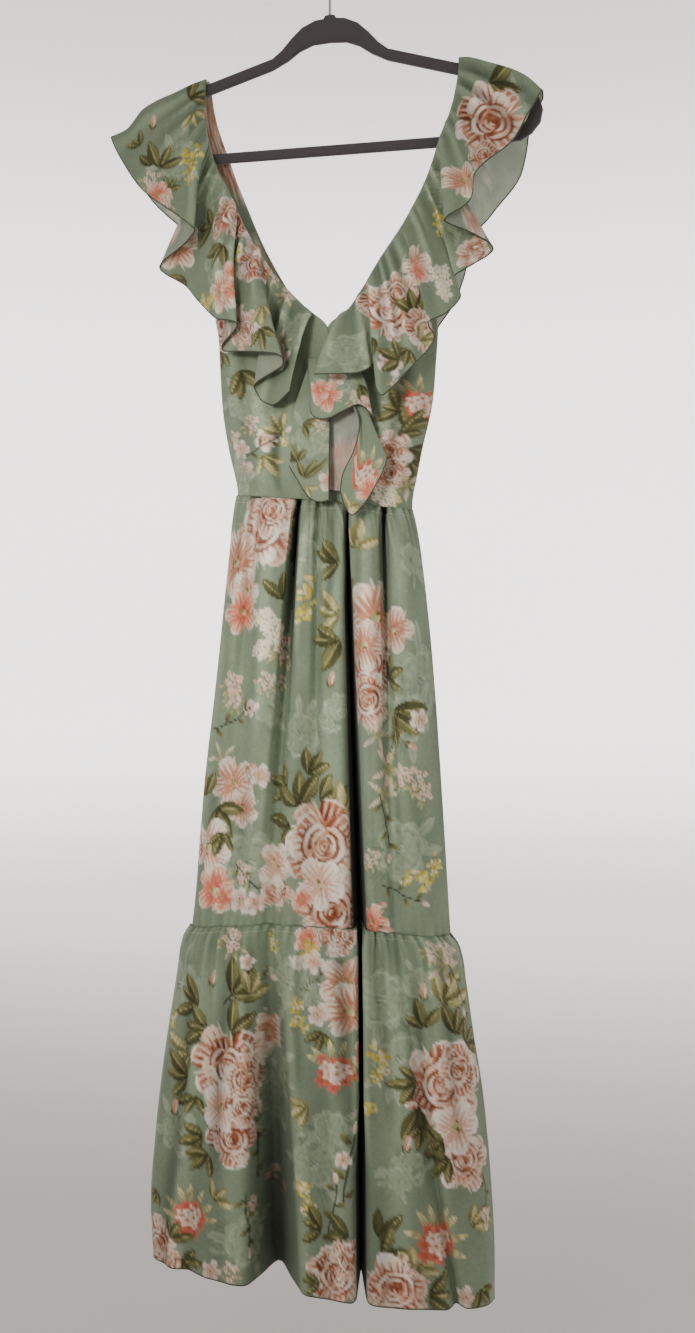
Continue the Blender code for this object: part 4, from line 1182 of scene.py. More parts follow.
        ("leaves", 212, 226, 20, 200), ("leaves", 223, 244, 26, 120), ("rose", 237, 220, 27, 0),
        ("yellow", 240, 253, 12, 0), ("leaves", 186, 279, 14, 160), ("coral", 234, 276, 15, 0),
        ("blossom", 222, 292, 22, 40), ("coral", 233, 290, 14, 0), ("yellow", 206, 306, 17, 0),
        ("yellow", 212, 300, 12, 0), ("rose", 256, 262, 22, 0), ("pale", 258, 248, 14, 0),
        ("rose", 246, 330, 20, 0), ("leaves", 260, 328, 18, 70), ("peach_bunch", 276, 275, 12, 0),
        ("peach_bunch", 289, 294, 12, 0), ("pale", 280, 359, 15, 0), ("lily", 280, 342, 16, 0),
        ("pale_leaves", 262, 305, 18, 90), ("rose", 224, 331, 18, 0),
        ("pale_leaves", 300, 372, 14, -40),
    ],
    "ruffle_right": [
        ("ghost", 510, 105, 26, 0), ("ghost", 440, 190, 26, 0), ("ghost", 370, 330, 30, 0),
        ("ghost", 345, 350, 24, 0), ("leaves", 488, 82, 26, 10), ("pale_leaves", 480, 96, 18, 60),
        ("rose", 492, 122, 40, 0), ("rose", 484, 155, 18, 0), ("blossom", 466, 180, 20, 0),
        ("blossom", 482, 208, 19, 60), ("coral", 478, 197, 9, 0), ("ghost", 460, 220, 20, 0),
        ("yellow", 438, 218, 14, 0), ("yellow", 440, 228, 11, 0), ("white_bunch", 441, 278, 17, 0),
        ("white_bunch", 444, 292, 12, 0), ("blossom", 472, 255, 18, 0), ("rose", 476, 250, 14, 0),
        ("pale_leaves", 476, 282, 18, 20), ("lily", 497, 270, 22, 30),
        ("blossom", 414, 265, 22, 0), ("coral", 416, 272, 14, 0), ("rose", 390, 310, 32, 0),
        ("rose", 398, 292, 22, 0), ("leaves", 416, 315, 20, -100), ("leaves", 408, 348, 20, 100),
        ("rose", 426, 330, 22, 0), ("pale", 436, 325, 14, 0), ("dark_leaf", 374, 337, 18, 120),
        ("pale", 391, 363, 15, 0), ("pale_leaves", 412, 367, 18, 30),
        ("pale_leaves", 420, 341, 18, -30), ("peach_bunch", 397, 385, 9, 0),
        ("leaves", 400, 360, 20, 190),
    ],
    "flounce_centre": [
        ("ghost", 340, 380, 20, 0), ("coral", 326, 395, 17, 0), ("coral", 320, 390, 12, 60),
        ("peach_bunch", 356, 398, 9, 0), ("pale", 338, 377, 9, 0), ("dark_leaf", 359, 384, 20, 60),
        ("leaves", 307, 404, 14, 190), ("rose", 368, 405, 10, 0),
    ],
    "ruffle_cascade": [
        ("ghost", 310, 440, 24, 0), ("leaves", 298, 462, 15, 250), ("leaves", 304, 478, 15, -60),
        ("pale_leaves", 306, 486, 12, 80), ("blossom", 334, 460, 16, 0),
        ("blossom", 331, 480, 13, 60), ("coral_bunch", 364, 476, 24, 0),
        ("coral", 369, 490, 14, 0), ("pale_leaves", 354, 504, 20, 100), ("yellow", 351, 510, 9, 0),
        ("peach_bunch", 320, 424, 10, 0), ("leaves", 303, 424, 12, 30),
    ],
}

# Motifs that show on the wrong side of the cloth, placed in the same way.
INSIDE = {
    "bodice_back_left": [
        ("rose", 214, 122, 26, 0), ("rose", 222, 146, 18, 40), ("leaves", 208, 108, 16, -60),
    ],
    "ruffle_cascade": [
        ("blossom", 337, 474, 24, 0), ("coral", 343, 452, 15, 30), ("leaves", 352, 432, 16, -50),
    ],
}

# Repeat of the print for the sides that the photograph doesn't show, in mm of flat cloth, how
# far it is shifted from one cloth to the next, and how much further down than across.
REPEAT_WIDE, REPEAT_HIGH = 250.0, 330.0
CLOTH_SHIFT, SHIFT_DOWN = 31.0, 1.7
# kind, across, down, radius in mm, turn in degrees
REPEAT = [
    ("ghost", 40, 60, 40, 0), ("ghost", 170, 30, 34, 40), ("ghost", 210, 190, 38, 10),
    ("ghost", 60, 250, 36, 70), ("ghost", 130, 150, 30, 0), ("leaves", 50, 110, 32, 190),
    ("leaves", 110, 80, 30, -40), ("leaves", 60, 170, 26, 150), ("rose", 82, 126, 42, 0),
    ("pale", 78, 168, 27, 0), ("rose", 92, 196, 30, 50), ("leaves", 120, 190, 26, 30),
    ("coral_bunch", 200, 90, 28, 0), ("yellow", 150, 220, 18, 0), ("twig", 190, 150, 40, -60),
    ("blossom", 205, 250, 32, 20), ("leaves", 176, 258, 22, 190), ("white_bunch", 30, 270, 18, 0),
    ("peach_bunch", 50, 290, 16, 0), ("twig", 100, 275, 36, 20), ("bud", 140, 20, 15, 10),
    ("lily", 140, 300, 26, 0), ("yellow", 20, 30, 17, 0), ("bud", 236, 40, 14, 40),
    ("peach_bunch", 232, 300, 16, 0),
]


# Share of the lighter sage in the ground colour, and how far it drifts.
GROUND_SHARE, GROUND_DRIFT = 0.72, 0.14


def wash(cloth):
    """Ground colour with the soft unevenness of dyed chiffon."""
    u, v = cloth.u, cloth.v
    drift = (np.sin(u * 0.021 + 1.3) * np.cos(v * 0.017) + 0.6 * np.sin(u * 0.057 - v * 0.043)
             + 0.4 * np.sin(u * 0.13 + v * 0.09 + 2.0))
    t = np.clip(GROUND_SHARE + GROUND_DRIFT * drift, 0, 1)[..., None]
    cloth.rgb = linear(SAGE_DARK) * (1 - t) + linear(SAGE) * t


# Where a motif is placed, a cell on the wrong face counts as this many pixels off, and so does
# every metre that it lies behind the nearest cell.
WRONG_FACE_MISS, FAR_MISS = 3.0, 20.0


def paint_front(cloth, table, inside=False):
    """Place the tabled motifs where they show in the photograph, on the face or the wrong side."""
    px, py, far = photo_place(cloth.points)
    toward = cloth.points * MM - np.array(CAMERA_PLACE)
    facing = (np.sum(toward * cloth.normals, axis=2) < 0) != inside
    for n, (kind, x, y, radius, turn) in enumerate(table):
        hidden = np.where(facing, 0, WRONG_FACE_MISS) + (far - far.min()) * FAR_MISS
        miss = np.hypot(px - x, py - y) + hidden
        at = np.unravel_index(np.argmin(miss), miss.shape)
        scale = far[at] / (LENS / SENSOR * PHOTO_HIGH) / MM
        shift = ((x - px[at]) * scale, (y - py[at]) * scale)
        brush = Brush(cloth, at, shift, radius, math.radians(turn), n + 1)
        KINDS[kind](brush)
        brush.done()


def paint_repeat(cloth, shift):
    """Print the repeat in half drops over the whole cloth."""
    first_u, first_v = cloth.u.min() - shift, cloth.v.min() - shift * SHIFT_DOWN
    across = int(np.ptp(cloth.u) / REPEAT_WIDE) + 3
    down = int(np.ptp(cloth.v) / REPEAT_HIGH) + 3
    for i in range(-1, across):
        for j in range(-1, down):
            drop = REPEAT_HIGH / 2 if i % 2 else 0.0
            for n, (kind, u, v, radius, turn) in enumerate(REPEAT):
                u_at = first_u + i * REPEAT_WIDE + u
                v_at = first_v + j * REPEAT_HIGH + v + drop
                miss = np.abs(cloth.u - u_at) + np.abs(cloth.v - v_at)
                at = np.unravel_index(np.argmin(miss), miss.shape)
                if miss[at] > radius * MOTIF_REACH:
                    continue
                shift = (u_at - cloth.u[at], v_at - cloth.v[at])
                brush = Brush(cloth, at, shift, radius, math.radians(turn), n + 40 * i + 7 * j + 99)
                KINDS[kind](brush)
                brush.done()


# Painted shade: a pleat's colour is darkened where it is sunk past SHADE_FROM mm, down to
# SHADE_LEAST of its colour, and a wide one more slowly. Gathers are darkened by their depth
# below the cloth within each reach in cells, and their crests are painted a little lighter.
SHADE_FROM, SHADE_FALL, SHADE_WIDE_FALL, SHADE_LEAST = 9.0, 7.5, 47.5, 0.012
CAVITY_REACHES, CAVITY_PASSES = ((2, 0.2), (6, 0.13)), 6


def shade_folds(cloth):
    """Darken the insides of the deep pleats and of the gathers, where little light reaches."""
    fall = SHADE_FALL + SHADE_WIDE_FALL * cloth.wide
    deep = np.exp(-np.maximum(cloth.sunk - SHADE_FROM, 0.0) / fall)
    cavity = 1.0
    for reach, share in CAVITY_REACHES:
        low = cloth.relief
        for _ in range(CAVITY_PASSES):
            low = (low + np.roll(low, reach, axis=1) + np.roll(low, -reach, axis=1)) / 3
        cavity = cavity * np.clip(1.0 + (cloth.relief - low) * share, 0.5, 1.15)
    cloth.rgb = cloth.rgb * (np.maximum(deep, SHADE_LEAST) * cavity)[..., None]


# Materials

# Share of the light that passes straight through, and share by which the wrong side is faded.
RUFFLE_CLEAR, BACK_RUFFLE_CLEAR = 0.03, 0.3
PANEL_FADING, RUFFLE_FADING, CASCADE_FADING = 0.15, 0.3, 0.6


def chiffon(name, transparent, fading):
    """Crepe chiffon, printed polyester: matt and slightly pebbled, letting some light through.

    The print, with the painted shade of the pleats and gathers, comes from the painted
    attribute. The wrong side shows it faded by a share.
    """
    made = bpy.data.materials.new(name)
    made.use_nodes = True
    tree = made.node_tree
    tree.nodes.clear()
    place = add(tree, "ShaderNodeTexCoord").outputs["Object"]
    print_and_shade_colour = add(tree, "ShaderNodeVertexColor", {"layer_name": "print"}).outputs["Color"]
    crepe = add(tree, "ShaderNodeTexNoise", Vector=place, Scale=900.0, Detail=2.0, Roughness=0.6)
    slub = add(tree, "ShaderNodeTexNoise", Vector=place, Scale=260.0, Detail=3.0, Roughness=0.55)
    tone = add(tree, "ShaderNodeMapRange", Value=slub.outputs["Fac"], From_Min=0.3, From_Max=0.7,
               To_Min=0.93, To_Max=1.07)
    if fading > 0:
        print_and_shade_colour = add(tree, "ShaderNodeMix", {"data_type": "RGBA"}, Factor=fading, n6=print_and_shade_colour,
                           n7=(*linear(WRONG_SIDE), 1.0)).outputs[2]
    toned = add(tree, "ShaderNodeMix", {"data_type": "RGBA", "blend_type": "MULTIPLY"}, Factor=1.0,
                n6=print_and_shade_colour, n7=tone.outputs["Result"])
    bump = add(tree, "ShaderNodeBump", Strength=0.25, Distance=0.0004, Height=crepe.outputs["Fac"])
    shader = add(tree, "ShaderNodeBsdfPrincipled", Base_Color=toned.outputs[2], Roughness=0.78,
                 Normal=bump.outputs["Normal"])
    shader.inputs["Specular IOR Level"].default_value = 0.25
    shader.inputs["Sheen Weight"].default_value = 0.12
    shader.inputs["Sheen Roughness"].default_value = 0.5
    through = add(tree, "ShaderNodeBsdfTranslucent", Color=toned.outputs[2],
                  Normal=bump.outputs["Normal"])
    body = add(tree, "ShaderNodeMixShader", n0=0.22, n1=shader.outputs[0], n2=through.outputs[0])
    if transparent > 0:
        clear = add(tree, "ShaderNodeBsdfTransparent", Color=(0.86, 0.9, 0.84, 1.0))
        body = add(tree, "ShaderNodeMixShader", n0=transparent, n1=body.outputs[0], n2=clear.outputs[0])
    add(tree, "ShaderNodeOutputMaterial", Surface=body.outputs[0])
    return made


def plain(name, code, roughness, metallic=0.0, sheen=0.0, grain=0.0, grain_scale=1500.0, tone=0.08):
    """Surface of one colour with a fine grain in its tone and relief."""
    made = bpy.data.materials.new(name)
    made.use_nodes = True
    tree = made.node_tree
    shader = tree.nodes["Principled BSDF"]
    place = add(tree, "ShaderNodeTexCoord").outputs["Object"]
    noise = add(tree, "ShaderNodeTexNoise", Vector=place, Scale=grain_scale, Detail=3.0)
    shift = add(tree, "ShaderNodeMapRange", Value=noise.outputs["Fac"], From_Min=0.3, From_Max=0.7,
                To_Min=1 - tone, To_Max=1 + tone)
    colour = add(tree, "ShaderNodeMix", {"data_type": "RGBA", "blend_type": "MULTIPLY"}, Factor=1.0,
                 n6=(*linear(code), 1.0), n7=shift.outputs["Result"])
    tree.links.new(colour.outputs[2], shader.inputs["Base Color"])
    shader.inputs["Roughness"].default_value = roughness
    shader.inputs["Metallic"].default_value = metallic
    shader.inputs["Sheen Weight"].default_value = sheen
    if grain > 0:
        bump = add(tree, "ShaderNodeBump", Strength=grain, Distance=0.0003, Height=noise.outputs["Fac"])
        tree.links.new(bump.outputs["Normal"], shader.inputs["Normal"])
    return made


# Meshes

def close_shell(cloth, materials):
    """Mesh of the cloth: fine outer face, inner face with fewer rows behind it, and a rim."""
    rows, columns = cloth.points.shape[:2]
    kept = sorted(set(range(0, rows - 1, INNER_ROWS)) | {rows - 1})
    outer = cloth.points.reshape(-1, 3)
    behind = (cloth.points - cloth.normals * SHELL)[kept].reshape(-1, 3)
    colour = np.concatenate([cloth.rgb.reshape(-1, 3), cloth.rgb[kept].reshape(-1, 3)])
    flat = np.stack([cloth.u, cloth.v], axis=2)
    flat = np.concatenate([flat.reshape(-1, 2), flat[kept].reshape(-1, 2)])
    a = np.arange(rows * columns).reshape(rows, columns)
    b = np.arange(len(kept) * columns).reshape(len(kept), columns) + rows * columns
    front = np.stack([a[:-1, :-1], a[1:, :-1], a[1:, 1:], a[:-1, 1:]], axis=2).reshape(-1, 4)
    back = np.stack([b[:-1, :-1], b[:-1, 1:], b[1:, 1:], b[1:, :-1]], axis=2).reshape(-1, 4)
    faces = [tuple(f) for f in front.tolist()] + [tuple(f) for f in back.tolist()]
    for c in range(columns - 1):
        faces.append((int(a[0, c]), int(a[0, c + 1]), int(b[0, c + 1]), int(b[0, c])))
        faces.append((int(a[-1, c + 1]), int(a[-1, c]), int(b[-1, c]), int(b[-1, c + 1])))
    for n, (low, high) in enumerate(zip(kept, kept[1:])):
        left = [int(a[r, 0]) for r in range(low, high + 1)]
        right = [int(a[r, -1]) for r in range(low, high + 1)]
        faces.append(tuple(left[::-1] + [int(b[n, 0]), int(b[n + 1, 0])]))
        faces.append(tuple(right + [int(b[n + 1, -1]), int(b[n, -1])]))
    mesh = bpy.data.meshes.new(cloth.name + "_cloth")
    mesh.from_pydata((np.concatenate([outer, behind]) * MM).tolist(), [], faces)
    for material in materials:
        mesh.materials.append(material)
    index = np.zeros(len(faces), dtype=np.int32)
    index[len(front):len(front) + len(back)] = len(materials) - 1
    mesh.polygons.foreach_set("material_index", index)
    mesh.polygons.foreach_set("use_smooth", np.ones(len(faces), dtype=bool))
    # The colour attribute holds the print, with painted shade in the pleats and gathers and painted
    # light on their crests.
    layer = mesh.color_attributes.new("print", "FLOAT_COLOR", "POINT")
    opaque = np.column_stack([colour, np.ones(len(colour))])
    layer.data.foreach_set("color", opaque.astype(np.float32).ravel())
    corners = np.zeros(len(mesh.loops), dtype=np.int32)
    mesh.loops.foreach_get("vertex_index", corners)
    uv = mesh.uv_layers.new(name="flat")
    uv.data.foreach_set("uv", (flat[corners] * MM).astype(np.float32).ravel())
    mesh.update()
    piece = bpy.data.objects.new(cloth.name + "_cloth", mesh)
    bpy.context.scene.collection.objects.link(piece)
    return piece


def path_object(name, lines):
    """Object of loose edges along lines of points in mm, for a Geometry Nodes tree to follow."""
    verts, edges = [], []
    for line in lines:
        start = len(verts)
        verts += [tuple(float(c) * MM for c in p) for p in line]
        edges += [(start + n, start + n + 1) for n in range(len(line) - 1)]
    mesh = bpy.data.meshes.new(name)
    mesh.from_pydata(verts, edges, [])
    made = bpy.data.objects.new(name, mesh)
    bpy.context.scene.collection.objects.link(made)
    return made


def grow(carrier, tree, values):
    """Run a Geometry Nodes tree with named inputs on an object, and keep a plain mesh of it."""
    modifier = carrier.modifiers.new("grow", "NODES")
    modifier.node_group = tree
    for item in tree.interface.items_tree:
        if item.item_type == "SOCKET" and item.in_out == "INPUT" and item.name in values:
            modifier[item.identifier] = values[item.name]
    ready = carrier.evaluated_get(bpy.context.evaluated_depsgraph_get())
    mesh = bpy.data.meshes.new_from_object(ready)
    carrier.modifiers.remove(modifier)
    old = carrier.data
    carrier.data = mesh
    bpy.data.meshes.remove(old)
    return carrier


def new_tree(name, inputs):
    """Empty Geometry Nodes tree with a geometry input and the named ones."""
    tree = bpy.data.node_groups.new(name, "GeometryNodeTree")
    tree.interface.new_socket("Geometry", in_out="INPUT", socket_type="NodeSocketGeometry")
    for label, kind in inputs:
        tree.interface.new_socket(label, in_out="INPUT", socket_type=kind)
    tree.interface.new_socket("Geometry", in_out="OUTPUT", socket_type="NodeSocketGeometry")
    return tree, add(tree, "NodeGroupInput")


def end_tree(tree, given, made):
    """Realize the instances, set the material that was given, and put the mesh out."""
    real = add(tree, "GeometryNodeRealizeInstances", Geometry=made.outputs[0])
    done = add(tree, "GeometryNodeSetMaterial", Geometry=real.outputs[0],
               Material=given.outputs["Material"])
    add(tree, "NodeGroupOutput", Geometry=done.outputs[0])
    return tree


def rolled_hem_tree():
    """Thin roll of cloth along a path."""
    tree, given = new_tree("rolled_hem", (("Radius", "NodeSocketFloat"),
                                          ("Material", "NodeSocketMaterial")))
    curve = add(tree, "GeometryNodeMeshToCurve", Mesh=given.outputs["Geometry"])
    ring = add(tree, "GeometryNodeCurvePrimitiveCircle", Resolution=5, Radius=given.outputs["Radius"])
    tube = add(tree, "GeometryNodeCurveToMesh", Curve=curve.outputs[0],
               Profile_Curve=ring.outputs[0], Fill_Caps=True)
    smooth = add(tree, "GeometryNodeSetShadeSmooth", n0=tube.outputs[0])
    return end_tree(tree, given, smooth)


def stitch_tree():
    """Row of short thread stitches lying along a path."""
    tree, given = new_tree("stitches", (("Spacing", "NodeSocketFloat"), ("Thread", "NodeSocketFloat"),
                                        ("Material", "NodeSocketMaterial")))
    curve = add(tree, "GeometryNodeMeshToCurve", Mesh=given.outputs["Geometry"])
    spots = add(tree, "GeometryNodeCurveToPoints", {"mode": "LENGTH"}, Curve=curve.outputs[0],
                Length=given.outputs["Spacing"])
    long = add(tree, "ShaderNodeMath", {"operation": "MULTIPLY"}, n0=given.outputs["Spacing"],
               n1=STITCH_SHARE)
    thread = add(tree, "GeometryNodeMeshCylinder", Vertices=5, Radius=given.outputs["Thread"],
                 Depth=long.outputs[0])
    turned = add(tree, "FunctionNodeAlignEulerToVector", {"axis": "Z"}, Vector=spots.outputs["Tangent"])
    placed = add(tree, "GeometryNodeInstanceOnPoints", Points=spots.outputs["Points"],
                 Instance=thread.outputs["Mesh"], Rotation=turned.outputs[0])
    return end_tree(tree, given, placed)


def make_cloths():
    """Every cloth of the dress as a fine grid."""
    seam = SEAM_GAP / 2
    cloths = {}

    def keep(name, grid, step, gathered=0.0, level=False):
        cloths[name] = Cloth(name, grid, step, gathered, level)

    keep("bodice_front_left", bodice_grid("front", True), FRONT_STEP, level=True)
    keep("bodice_front_right", bodice_grid("front", False), FRONT_STEP, level=True)
    keep("bodice_back_left", bodice_grid("back", True), BACK_STEP, level=True)
    keep("bodice_back_right", bodice_grid("back", False), BACK_STEP, level=True)
    for side, upper, lower, step in (("front", UPPER_FRONT_FOLDS, LOWER_FRONT_FOLDS, FRONT_STEP),
                                     ("back", UPPER_BACK_FOLDS, LOWER_BACK_FOLDS, BACK_STEP)):
        keep("skirt_upper_" + side, tier_grid(
            side, UPPER, upper, UPPER_DROPS, lambda x: waist_height(x) - SEAM_GAP,
            lambda x: tier_height(x) + seam, GATHER), step)
        keep("skirt_lower_" + side, tier_grid(
            side, LOWER, lower, LOWER_DROPS, lambda x: tier_height(x) - seam, hem_height, GATHER), step)
    for name, side, neck, column, tip, waves, step in (
        ("ruffle_left", "front", NECK_FRONT, 1, TIP_LEFT, RUFFLE_LEFT, RUFFLE_STEP),
        ("ruffle_right", "front", NECK_FRONT, 2, TIP_RIGHT, RUFFLE_RIGHT, RUFFLE_STEP),
        ("ruffle_back_left", "back", NECK_BACK, 1, TIP_LEFT, RUFFLE_BACK_LEFT, BACK_STEP),
        ("ruffle_back_right", "back", NECK_BACK, 2, TIP_RIGHT, RUFFLE_BACK_RIGHT, BACK_STEP),
    ):
        keep(name, ruffle_grid(side, neck, column, tip, waves), step, RUFFLE_DRAWN)
    flounce = strip_grid(FLOUNCE_CENTRE, FLOUNCE_TOP_Z, FLOUNCE_ROWS, FLOUNCE_STEPS, FLOUNCE_SWELL)
    keep("flounce_centre", flounce, RUFFLE_STEP, STRIP_DRAWN)
    # The cascade's printed face is the outside of its bell, so its columns run the other way.
    bell = strip_grid(CASCADE, CASCADE_TOP_Z, CASCADE_ROWS, CASCADE_STEPS, CASCADE_SWELL)
    keep("ruffle_cascade", [row[::-1] for row in bell], RUFFLE_STEP, STRIP_DRAWN)
    return cloths


# Least side of a flat cut in mm, and the least share of it that the cloth may fill.
LEAST_SIDE, LEAST_SHARE = 20.0, 0.31


def finish_cloth(cloth, piece, trims):
    """Tie a cloth and its trims to the root body and hide its imported part.

    Its flat size and area are worked out but not kept.
    """
    for made in [piece] + trims:
        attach(made, "root")
    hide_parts(cloth.name)
    wide, long = (max(c, LEAST_SIDE) * MM for c in cloth.cut)
    p = cloth.points
    across = np.cross(p[1:, :-1] - p[:-1, :-1], p[:-1, 1:] - p[:-1, :-1])
    area = float(np.linalg.norm(across, axis=2).sum()) * MM * MM
    area = min(wide * long, max(area, LEAST_SHARE * wide * long))


def dress():
    """Print, close and trim every cloth."""
    face = chiffon("printed_crepe_chiffon", 0.0, 0.0)
    wrong = chiffon("crepe_chiffon_wrong_side", 0.0, PANEL_FADING)
    sheer = chiffon("ruffle_chiffon", RUFFLE_CLEAR, 0.0)
    sheer_wrong = chiffon("ruffle_chiffon_wrong_side", RUFFLE_CLEAR, RUFFLE_FADING)
    thin = chiffon("back_ruffle_chiffon", BACK_RUFFLE_CLEAR, 0.0)
    thin_wrong = chiffon("back_ruffle_wrong_side", BACK_RUFFLE_CLEAR, RUFFLE_FADING)
    bell_wrong = chiffon("cascade_chiffon_wrong_side", 0.0, CASCADE_FADING)
    roll = plain("rolled_hem_thread", HEM_GREEN, 0.8, tone=0.2)
    tuck = plain("seam_tuck_chiffon", SAGE_DARK, 0.8, tone=0.12)
    thread = plain("sewing_thread", SAGE_PALE, 0.6, tone=0.1)
    hem_tree, sewing = rolled_hem_tree(), stitch_tree()
    for n, cloth in enumerate(make_cloths().values()):
        wash(cloth)
        if cloth.name in PRINT:
            paint_front(cloth, PRINT[cloth.name])
        else:
            paint_repeat(cloth, CLOTH_SHIFT * n)
        paint_front(cloth, INSIDE.get(cloth.name, []), True)
        shade_folds(cloth)
        frilled = cloth.name.startswith(("ruffle", "flounce"))
        sides = [sheer, sheer_wrong] if frilled else [face, wrong]
        if cloth.name == "ruffle_cascade":
            sides = [face, bell_wrong]
        if cloth.name.startswith("ruffle_back"):
            sides = [thin, thin_wrong]
        piece = close_shell(cloth, sides)
        middle = cloth.points - cloth.normals * SHELL / 2
        trims = []
        if frilled or "lower" in cloth.name:
            line = list(middle[-1])
            if cloth.name in ("ruffle_cascade", "flounce_centre"):
                line = list(middle[:, 0]) + line[1:] + list(middle[::-1, -1])[1:]
            edge = path_object(cloth.name + "_hem", [line])
            trims.append(grow(edge, hem_tree, {"Radius": HEM_ROLL * MM, "Material": roll}))
        if "skirt" in cloth.name:
            top = list(middle[0] + np.array([0.0, 0.0, SEAM_RISE]))
            edge = path_object(cloth.name + "_seam", [top])
            trims.append(grow(edge, hem_tree, {"Radius": SEAM_ROLL * MM, "Material": tuck}))
            row = list(cloth.points[STITCH_ROW] + cloth.normals[STITCH_ROW] * STITCH_LIFT)
            sewn = path_object(cloth.name + "_stitches", [row])
            trims.append(grow(sewn, sewing, {"Spacing": STITCH * MM, "Thread": THREAD * MM,
                                             "Material": thread}))
        finish_cloth(cloth, piece, trims)


def rounded_outline(half):
    """Full smooth outline from the right half of one."""
    loop = [(-x, z) for x, z in half[::-1] if x > 0] + list(half)
    return loop[:-1] if half[-1][0] == 0 else loop


def hanger_body():
    """Flocked hanger: flat moulded body with well rounded edges."""
    edge = HANGER_EDGE
    curve = bpy.data.curves.new("hanger_body", "CURVE")
    curve.dimensions = "2D"
    curve.fill_mode = "BOTH"
    curve.extrude = (HANGER_THICK / 2 - edge) * MM
    curve.bevel_depth = edge * MM
    curve.bevel_resolution = 4
    curve.offset = -edge * MM
    for half in (HANGER_OUTER, HANGER_INNER):
        loop = rounded_outline(half)
        spline = curve.splines.new("POLY")
        spline.points.add(len(loop) - 1)
        for point, (x, z) in zip(spline.points, loop):
            point.co = (x * MM, z * MM, 0, 1)
        spline.use_cyclic_u = True
    shape = bpy.data.objects.new("hanger_shape", curve)
    bpy.context.scene.collection.objects.link(shape)
    ready = shape.evaluated_get(bpy.context.evaluated_depsgraph_get())
    mesh = bpy.data.meshes.new_from_object(ready)
    bpy.data.objects.remove(shape)
    work = bmesh.new()
    work.from_mesh(mesh)
    bmesh.ops.remove_doubles(work, verts=work.verts, dist=1e-6)
    for vert in work.verts:
        vert.co = (vert.co.x, -vert.co.z, vert.co.y)
    bmesh.ops.recalc_face_normals(work, faces=work.faces)
    work.to_mesh(mesh)
    work.free()
    mesh.shade_smooth()
    mesh.set_sharp_from_angle(angle=math.radians(HANGER_SHARP))
    body = bpy.data.objects.new("hanger_body", mesh)
    bpy.context.scene.collection.objects.link(body)
    mesh.materials.clear()
    # Flocking, short grey nylon fibres: matt with a pale bloom at grazing angles.
    mesh.materials.append(plain("grey_flocking", FLOCK_GREY, 0.95, sheen=0.35, grain=0.5,
                                grain_scale=2600.0, tone=0.16))
    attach(body, "root")
    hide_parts("hanger_frame")
    hook = bpy.data.objects["hanger_hook"]
    hook.data.materials.clear()
    # Chromed steel wire: bright and smooth.
    hook.data.materials.append(plain("chromed_steel_wire", CHROME, 0.16, metallic=1.0, tone=0.02))


def camera():
    data = bpy.data.cameras.new("camera")
    data.sensor_fit = "VERTICAL"
    data.sensor_width = data.sensor_height = SENSOR
    data.lens = LENS
    made = bpy.data.objects.new("camera", data)
    made.location = CAMERA_PLACE
    made.rotation_euler = (math.pi / 2, 0, CAMERA_TURN)
    bpy.context.scene.collection.objects.link(made)
    bpy.context.scene.camera = made


# Studio, in metres and watts: a flat floor out to FLOOR_REACH, a cove of the given radius in so
# many steps, and a round wall up to WALL_TOP over the floor.
FLOOR_REACH, COVE_RADIUS, COVE_STEPS, WALL_TOP, FLOOR_SIDES = 3.2, 1.4, 8, 4.5, 64
WORLD_COLOUR, WORLD_STRENGTH = (1.0, 0.98, 0.96, 1.0), 0.35
PAPER_GLOW = (1.0, 0.965, 0.95, 1.0)
# The paper's painted glow, light that it gives off itself, is the product of these.
# axis, from, to, glow there and there
GLOW_RAMPS = (
    ("Z", FLOOR_Z * MM - 0.35, -1.0, 0.0, 2.5),
    ("Z", 0.3, 2.2, 1.0, 0.42),
    ("Y", 0.3, 2.8, 0.1, 1.0),
)
# name, place, size, power
LAMPS = (
    ("key", (-1.3, -2.6, 0.6), 1.8, 19.0),
    ("fill", (1.9, -2.4, -0.3), 2.0, 9.0),
    ("back", (0.6, 2.6, 0.8), 2.0, 12.0),
)
LAMP_COLOUR, LAMP_TARGET = (1.0, 0.98, 0.95), (0.0, 0.0, -0.75)
# Soft round light on the middle of the skirt, as in the photograph.
SPOT_PLACE, SPOT_TARGET, SPOT_COLOUR = (-0.5, -2.6, -0.35), (0.0, 0.0, -0.68), (1.0, 0.97, 0.9)
SPOT_POWER, SPOT_DEGREES, SPOT_RADIUS = 225.0, 24, 0.3


def backdrop_paper():
    """Matt painted paper, faintly warm, that glows with painted light of its own behind the dress,
    between the floor and its upper edge.
    """
    paper = plain("backdrop_paper", PAPER, 0.95, tone=0.01, grain_scale=3.0)
    tree = paper.node_tree
    place = add(tree, "ShaderNodeTexCoord")
    height = add(tree, "ShaderNodeSeparateXYZ", Vector=place.outputs["Object"])
    strength = 1.0
    for axis, start, end, low, high in GLOW_RAMPS:
        ramp = add(tree, "ShaderNodeMapRange", {"interpolation_type": "SMOOTHSTEP"},
                   Value=height.outputs[axis], From_Min=start, From_Max=end, To_Min=low, To_Max=high)
        product = add(tree, "ShaderNodeMath", {"operation": "MULTIPLY"}, n0=strength,
                      n1=ramp.outputs[0])
        strength = product.outputs[0]
    shader = tree.nodes["Principled BSDF"]
    # Painted light: the paper glows by its emission.
    shader.inputs["Emission Color"].default_value = PAPER_GLOW
    tree.links.new(strength, shader.inputs["Emission Strength"])
    return paper


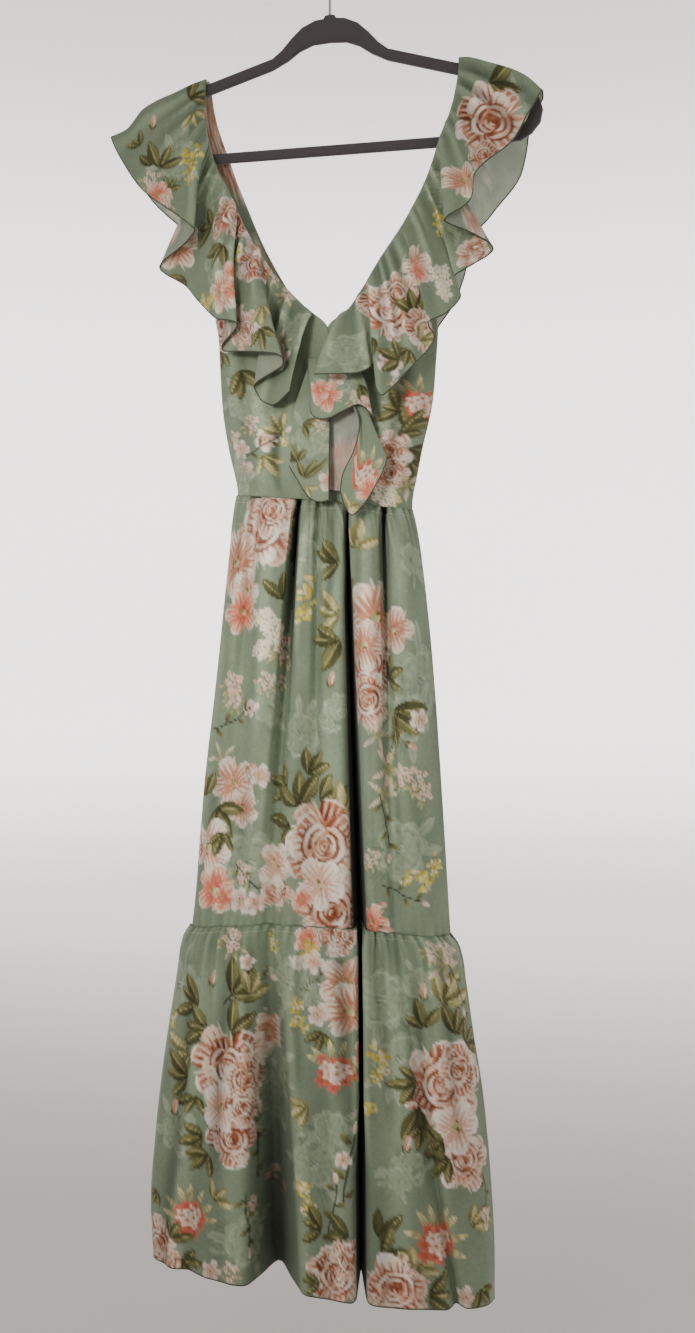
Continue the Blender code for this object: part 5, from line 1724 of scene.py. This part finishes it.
def studio():
    """Pale floor that curves up into a round backdrop, and soft light from all over."""
    mesh = bpy.data.meshes.new("studio_floor")
    work = bmesh.new()
    profile = [(FLOOR_REACH, 0.0)]
    for step in range(1, COVE_STEPS + 1):
        angle = step * math.pi / 2 / COVE_STEPS
        profile.append((FLOOR_REACH + COVE_RADIUS * math.sin(angle),
                        COVE_RADIUS - COVE_RADIUS * math.cos(angle)))
    profile.append((FLOOR_REACH + COVE_RADIUS, WALL_TOP))
    turns = [2 * math.pi * k / FLOOR_SIDES for k in range(FLOOR_SIDES)]
    rings = [[work.verts.new((*polar(far, turn), FLOOR_Z * MM + rise)) for turn in turns]
             for far, rise in profile]
    centre = work.verts.new((0, 0, FLOOR_Z * MM))
    for k in range(FLOOR_SIDES):
        after = (k + 1) % FLOOR_SIDES
        work.faces.new((centre, rings[0][k], rings[0][after]))
        for low, high in zip(rings, rings[1:]):
            work.faces.new((low[k], high[k], high[after], low[after]))
    work.to_mesh(mesh)
    work.free()
    mesh.shade_smooth()
    floor = bpy.data.objects.new("studio_floor", mesh)
    bpy.context.scene.collection.objects.link(floor)
    mesh.materials.append(backdrop_paper())
    world = bpy.data.worlds.new("soft_daylight")
    world.use_nodes = True
    world.node_tree.nodes["Background"].inputs["Color"].default_value = WORLD_COLOUR
    world.node_tree.nodes["Background"].inputs["Strength"].default_value = WORLD_STRENGTH
    bpy.context.scene.world = world
    for name, place, size, power in LAMPS:
        light = bpy.data.lights.new(name, "AREA")
        light.size = size
        light.energy = power
        light.color = LAMP_COLOUR
        place_lamp(light, place, LAMP_TARGET)
    light = bpy.data.lights.new("middle", "SPOT")
    light.energy = SPOT_POWER
    light.spot_size = math.radians(SPOT_DEGREES)
    light.spot_blend = 1.0
    light.shadow_soft_size = SPOT_RADIUS
    light.color = SPOT_COLOUR
    place_lamp(light, SPOT_PLACE, SPOT_TARGET)


def place_lamp(light, place, target):
    """Put a light at a place, aimed at a target, both in metres."""
    lamp = bpy.data.objects.new(light.name, light)
    lamp.location = place
    aim = np.array(target) - np.array(place)
    lean, turn = math.acos(-aim[2] / np.linalg.norm(aim)), math.atan2(aim[1], aim[0])
    lamp.rotation_euler = (lean, 0, turn - math.pi / 2)
    bpy.context.scene.collection.objects.link(lamp)


camera()
studio()
hanger_body()
dress()
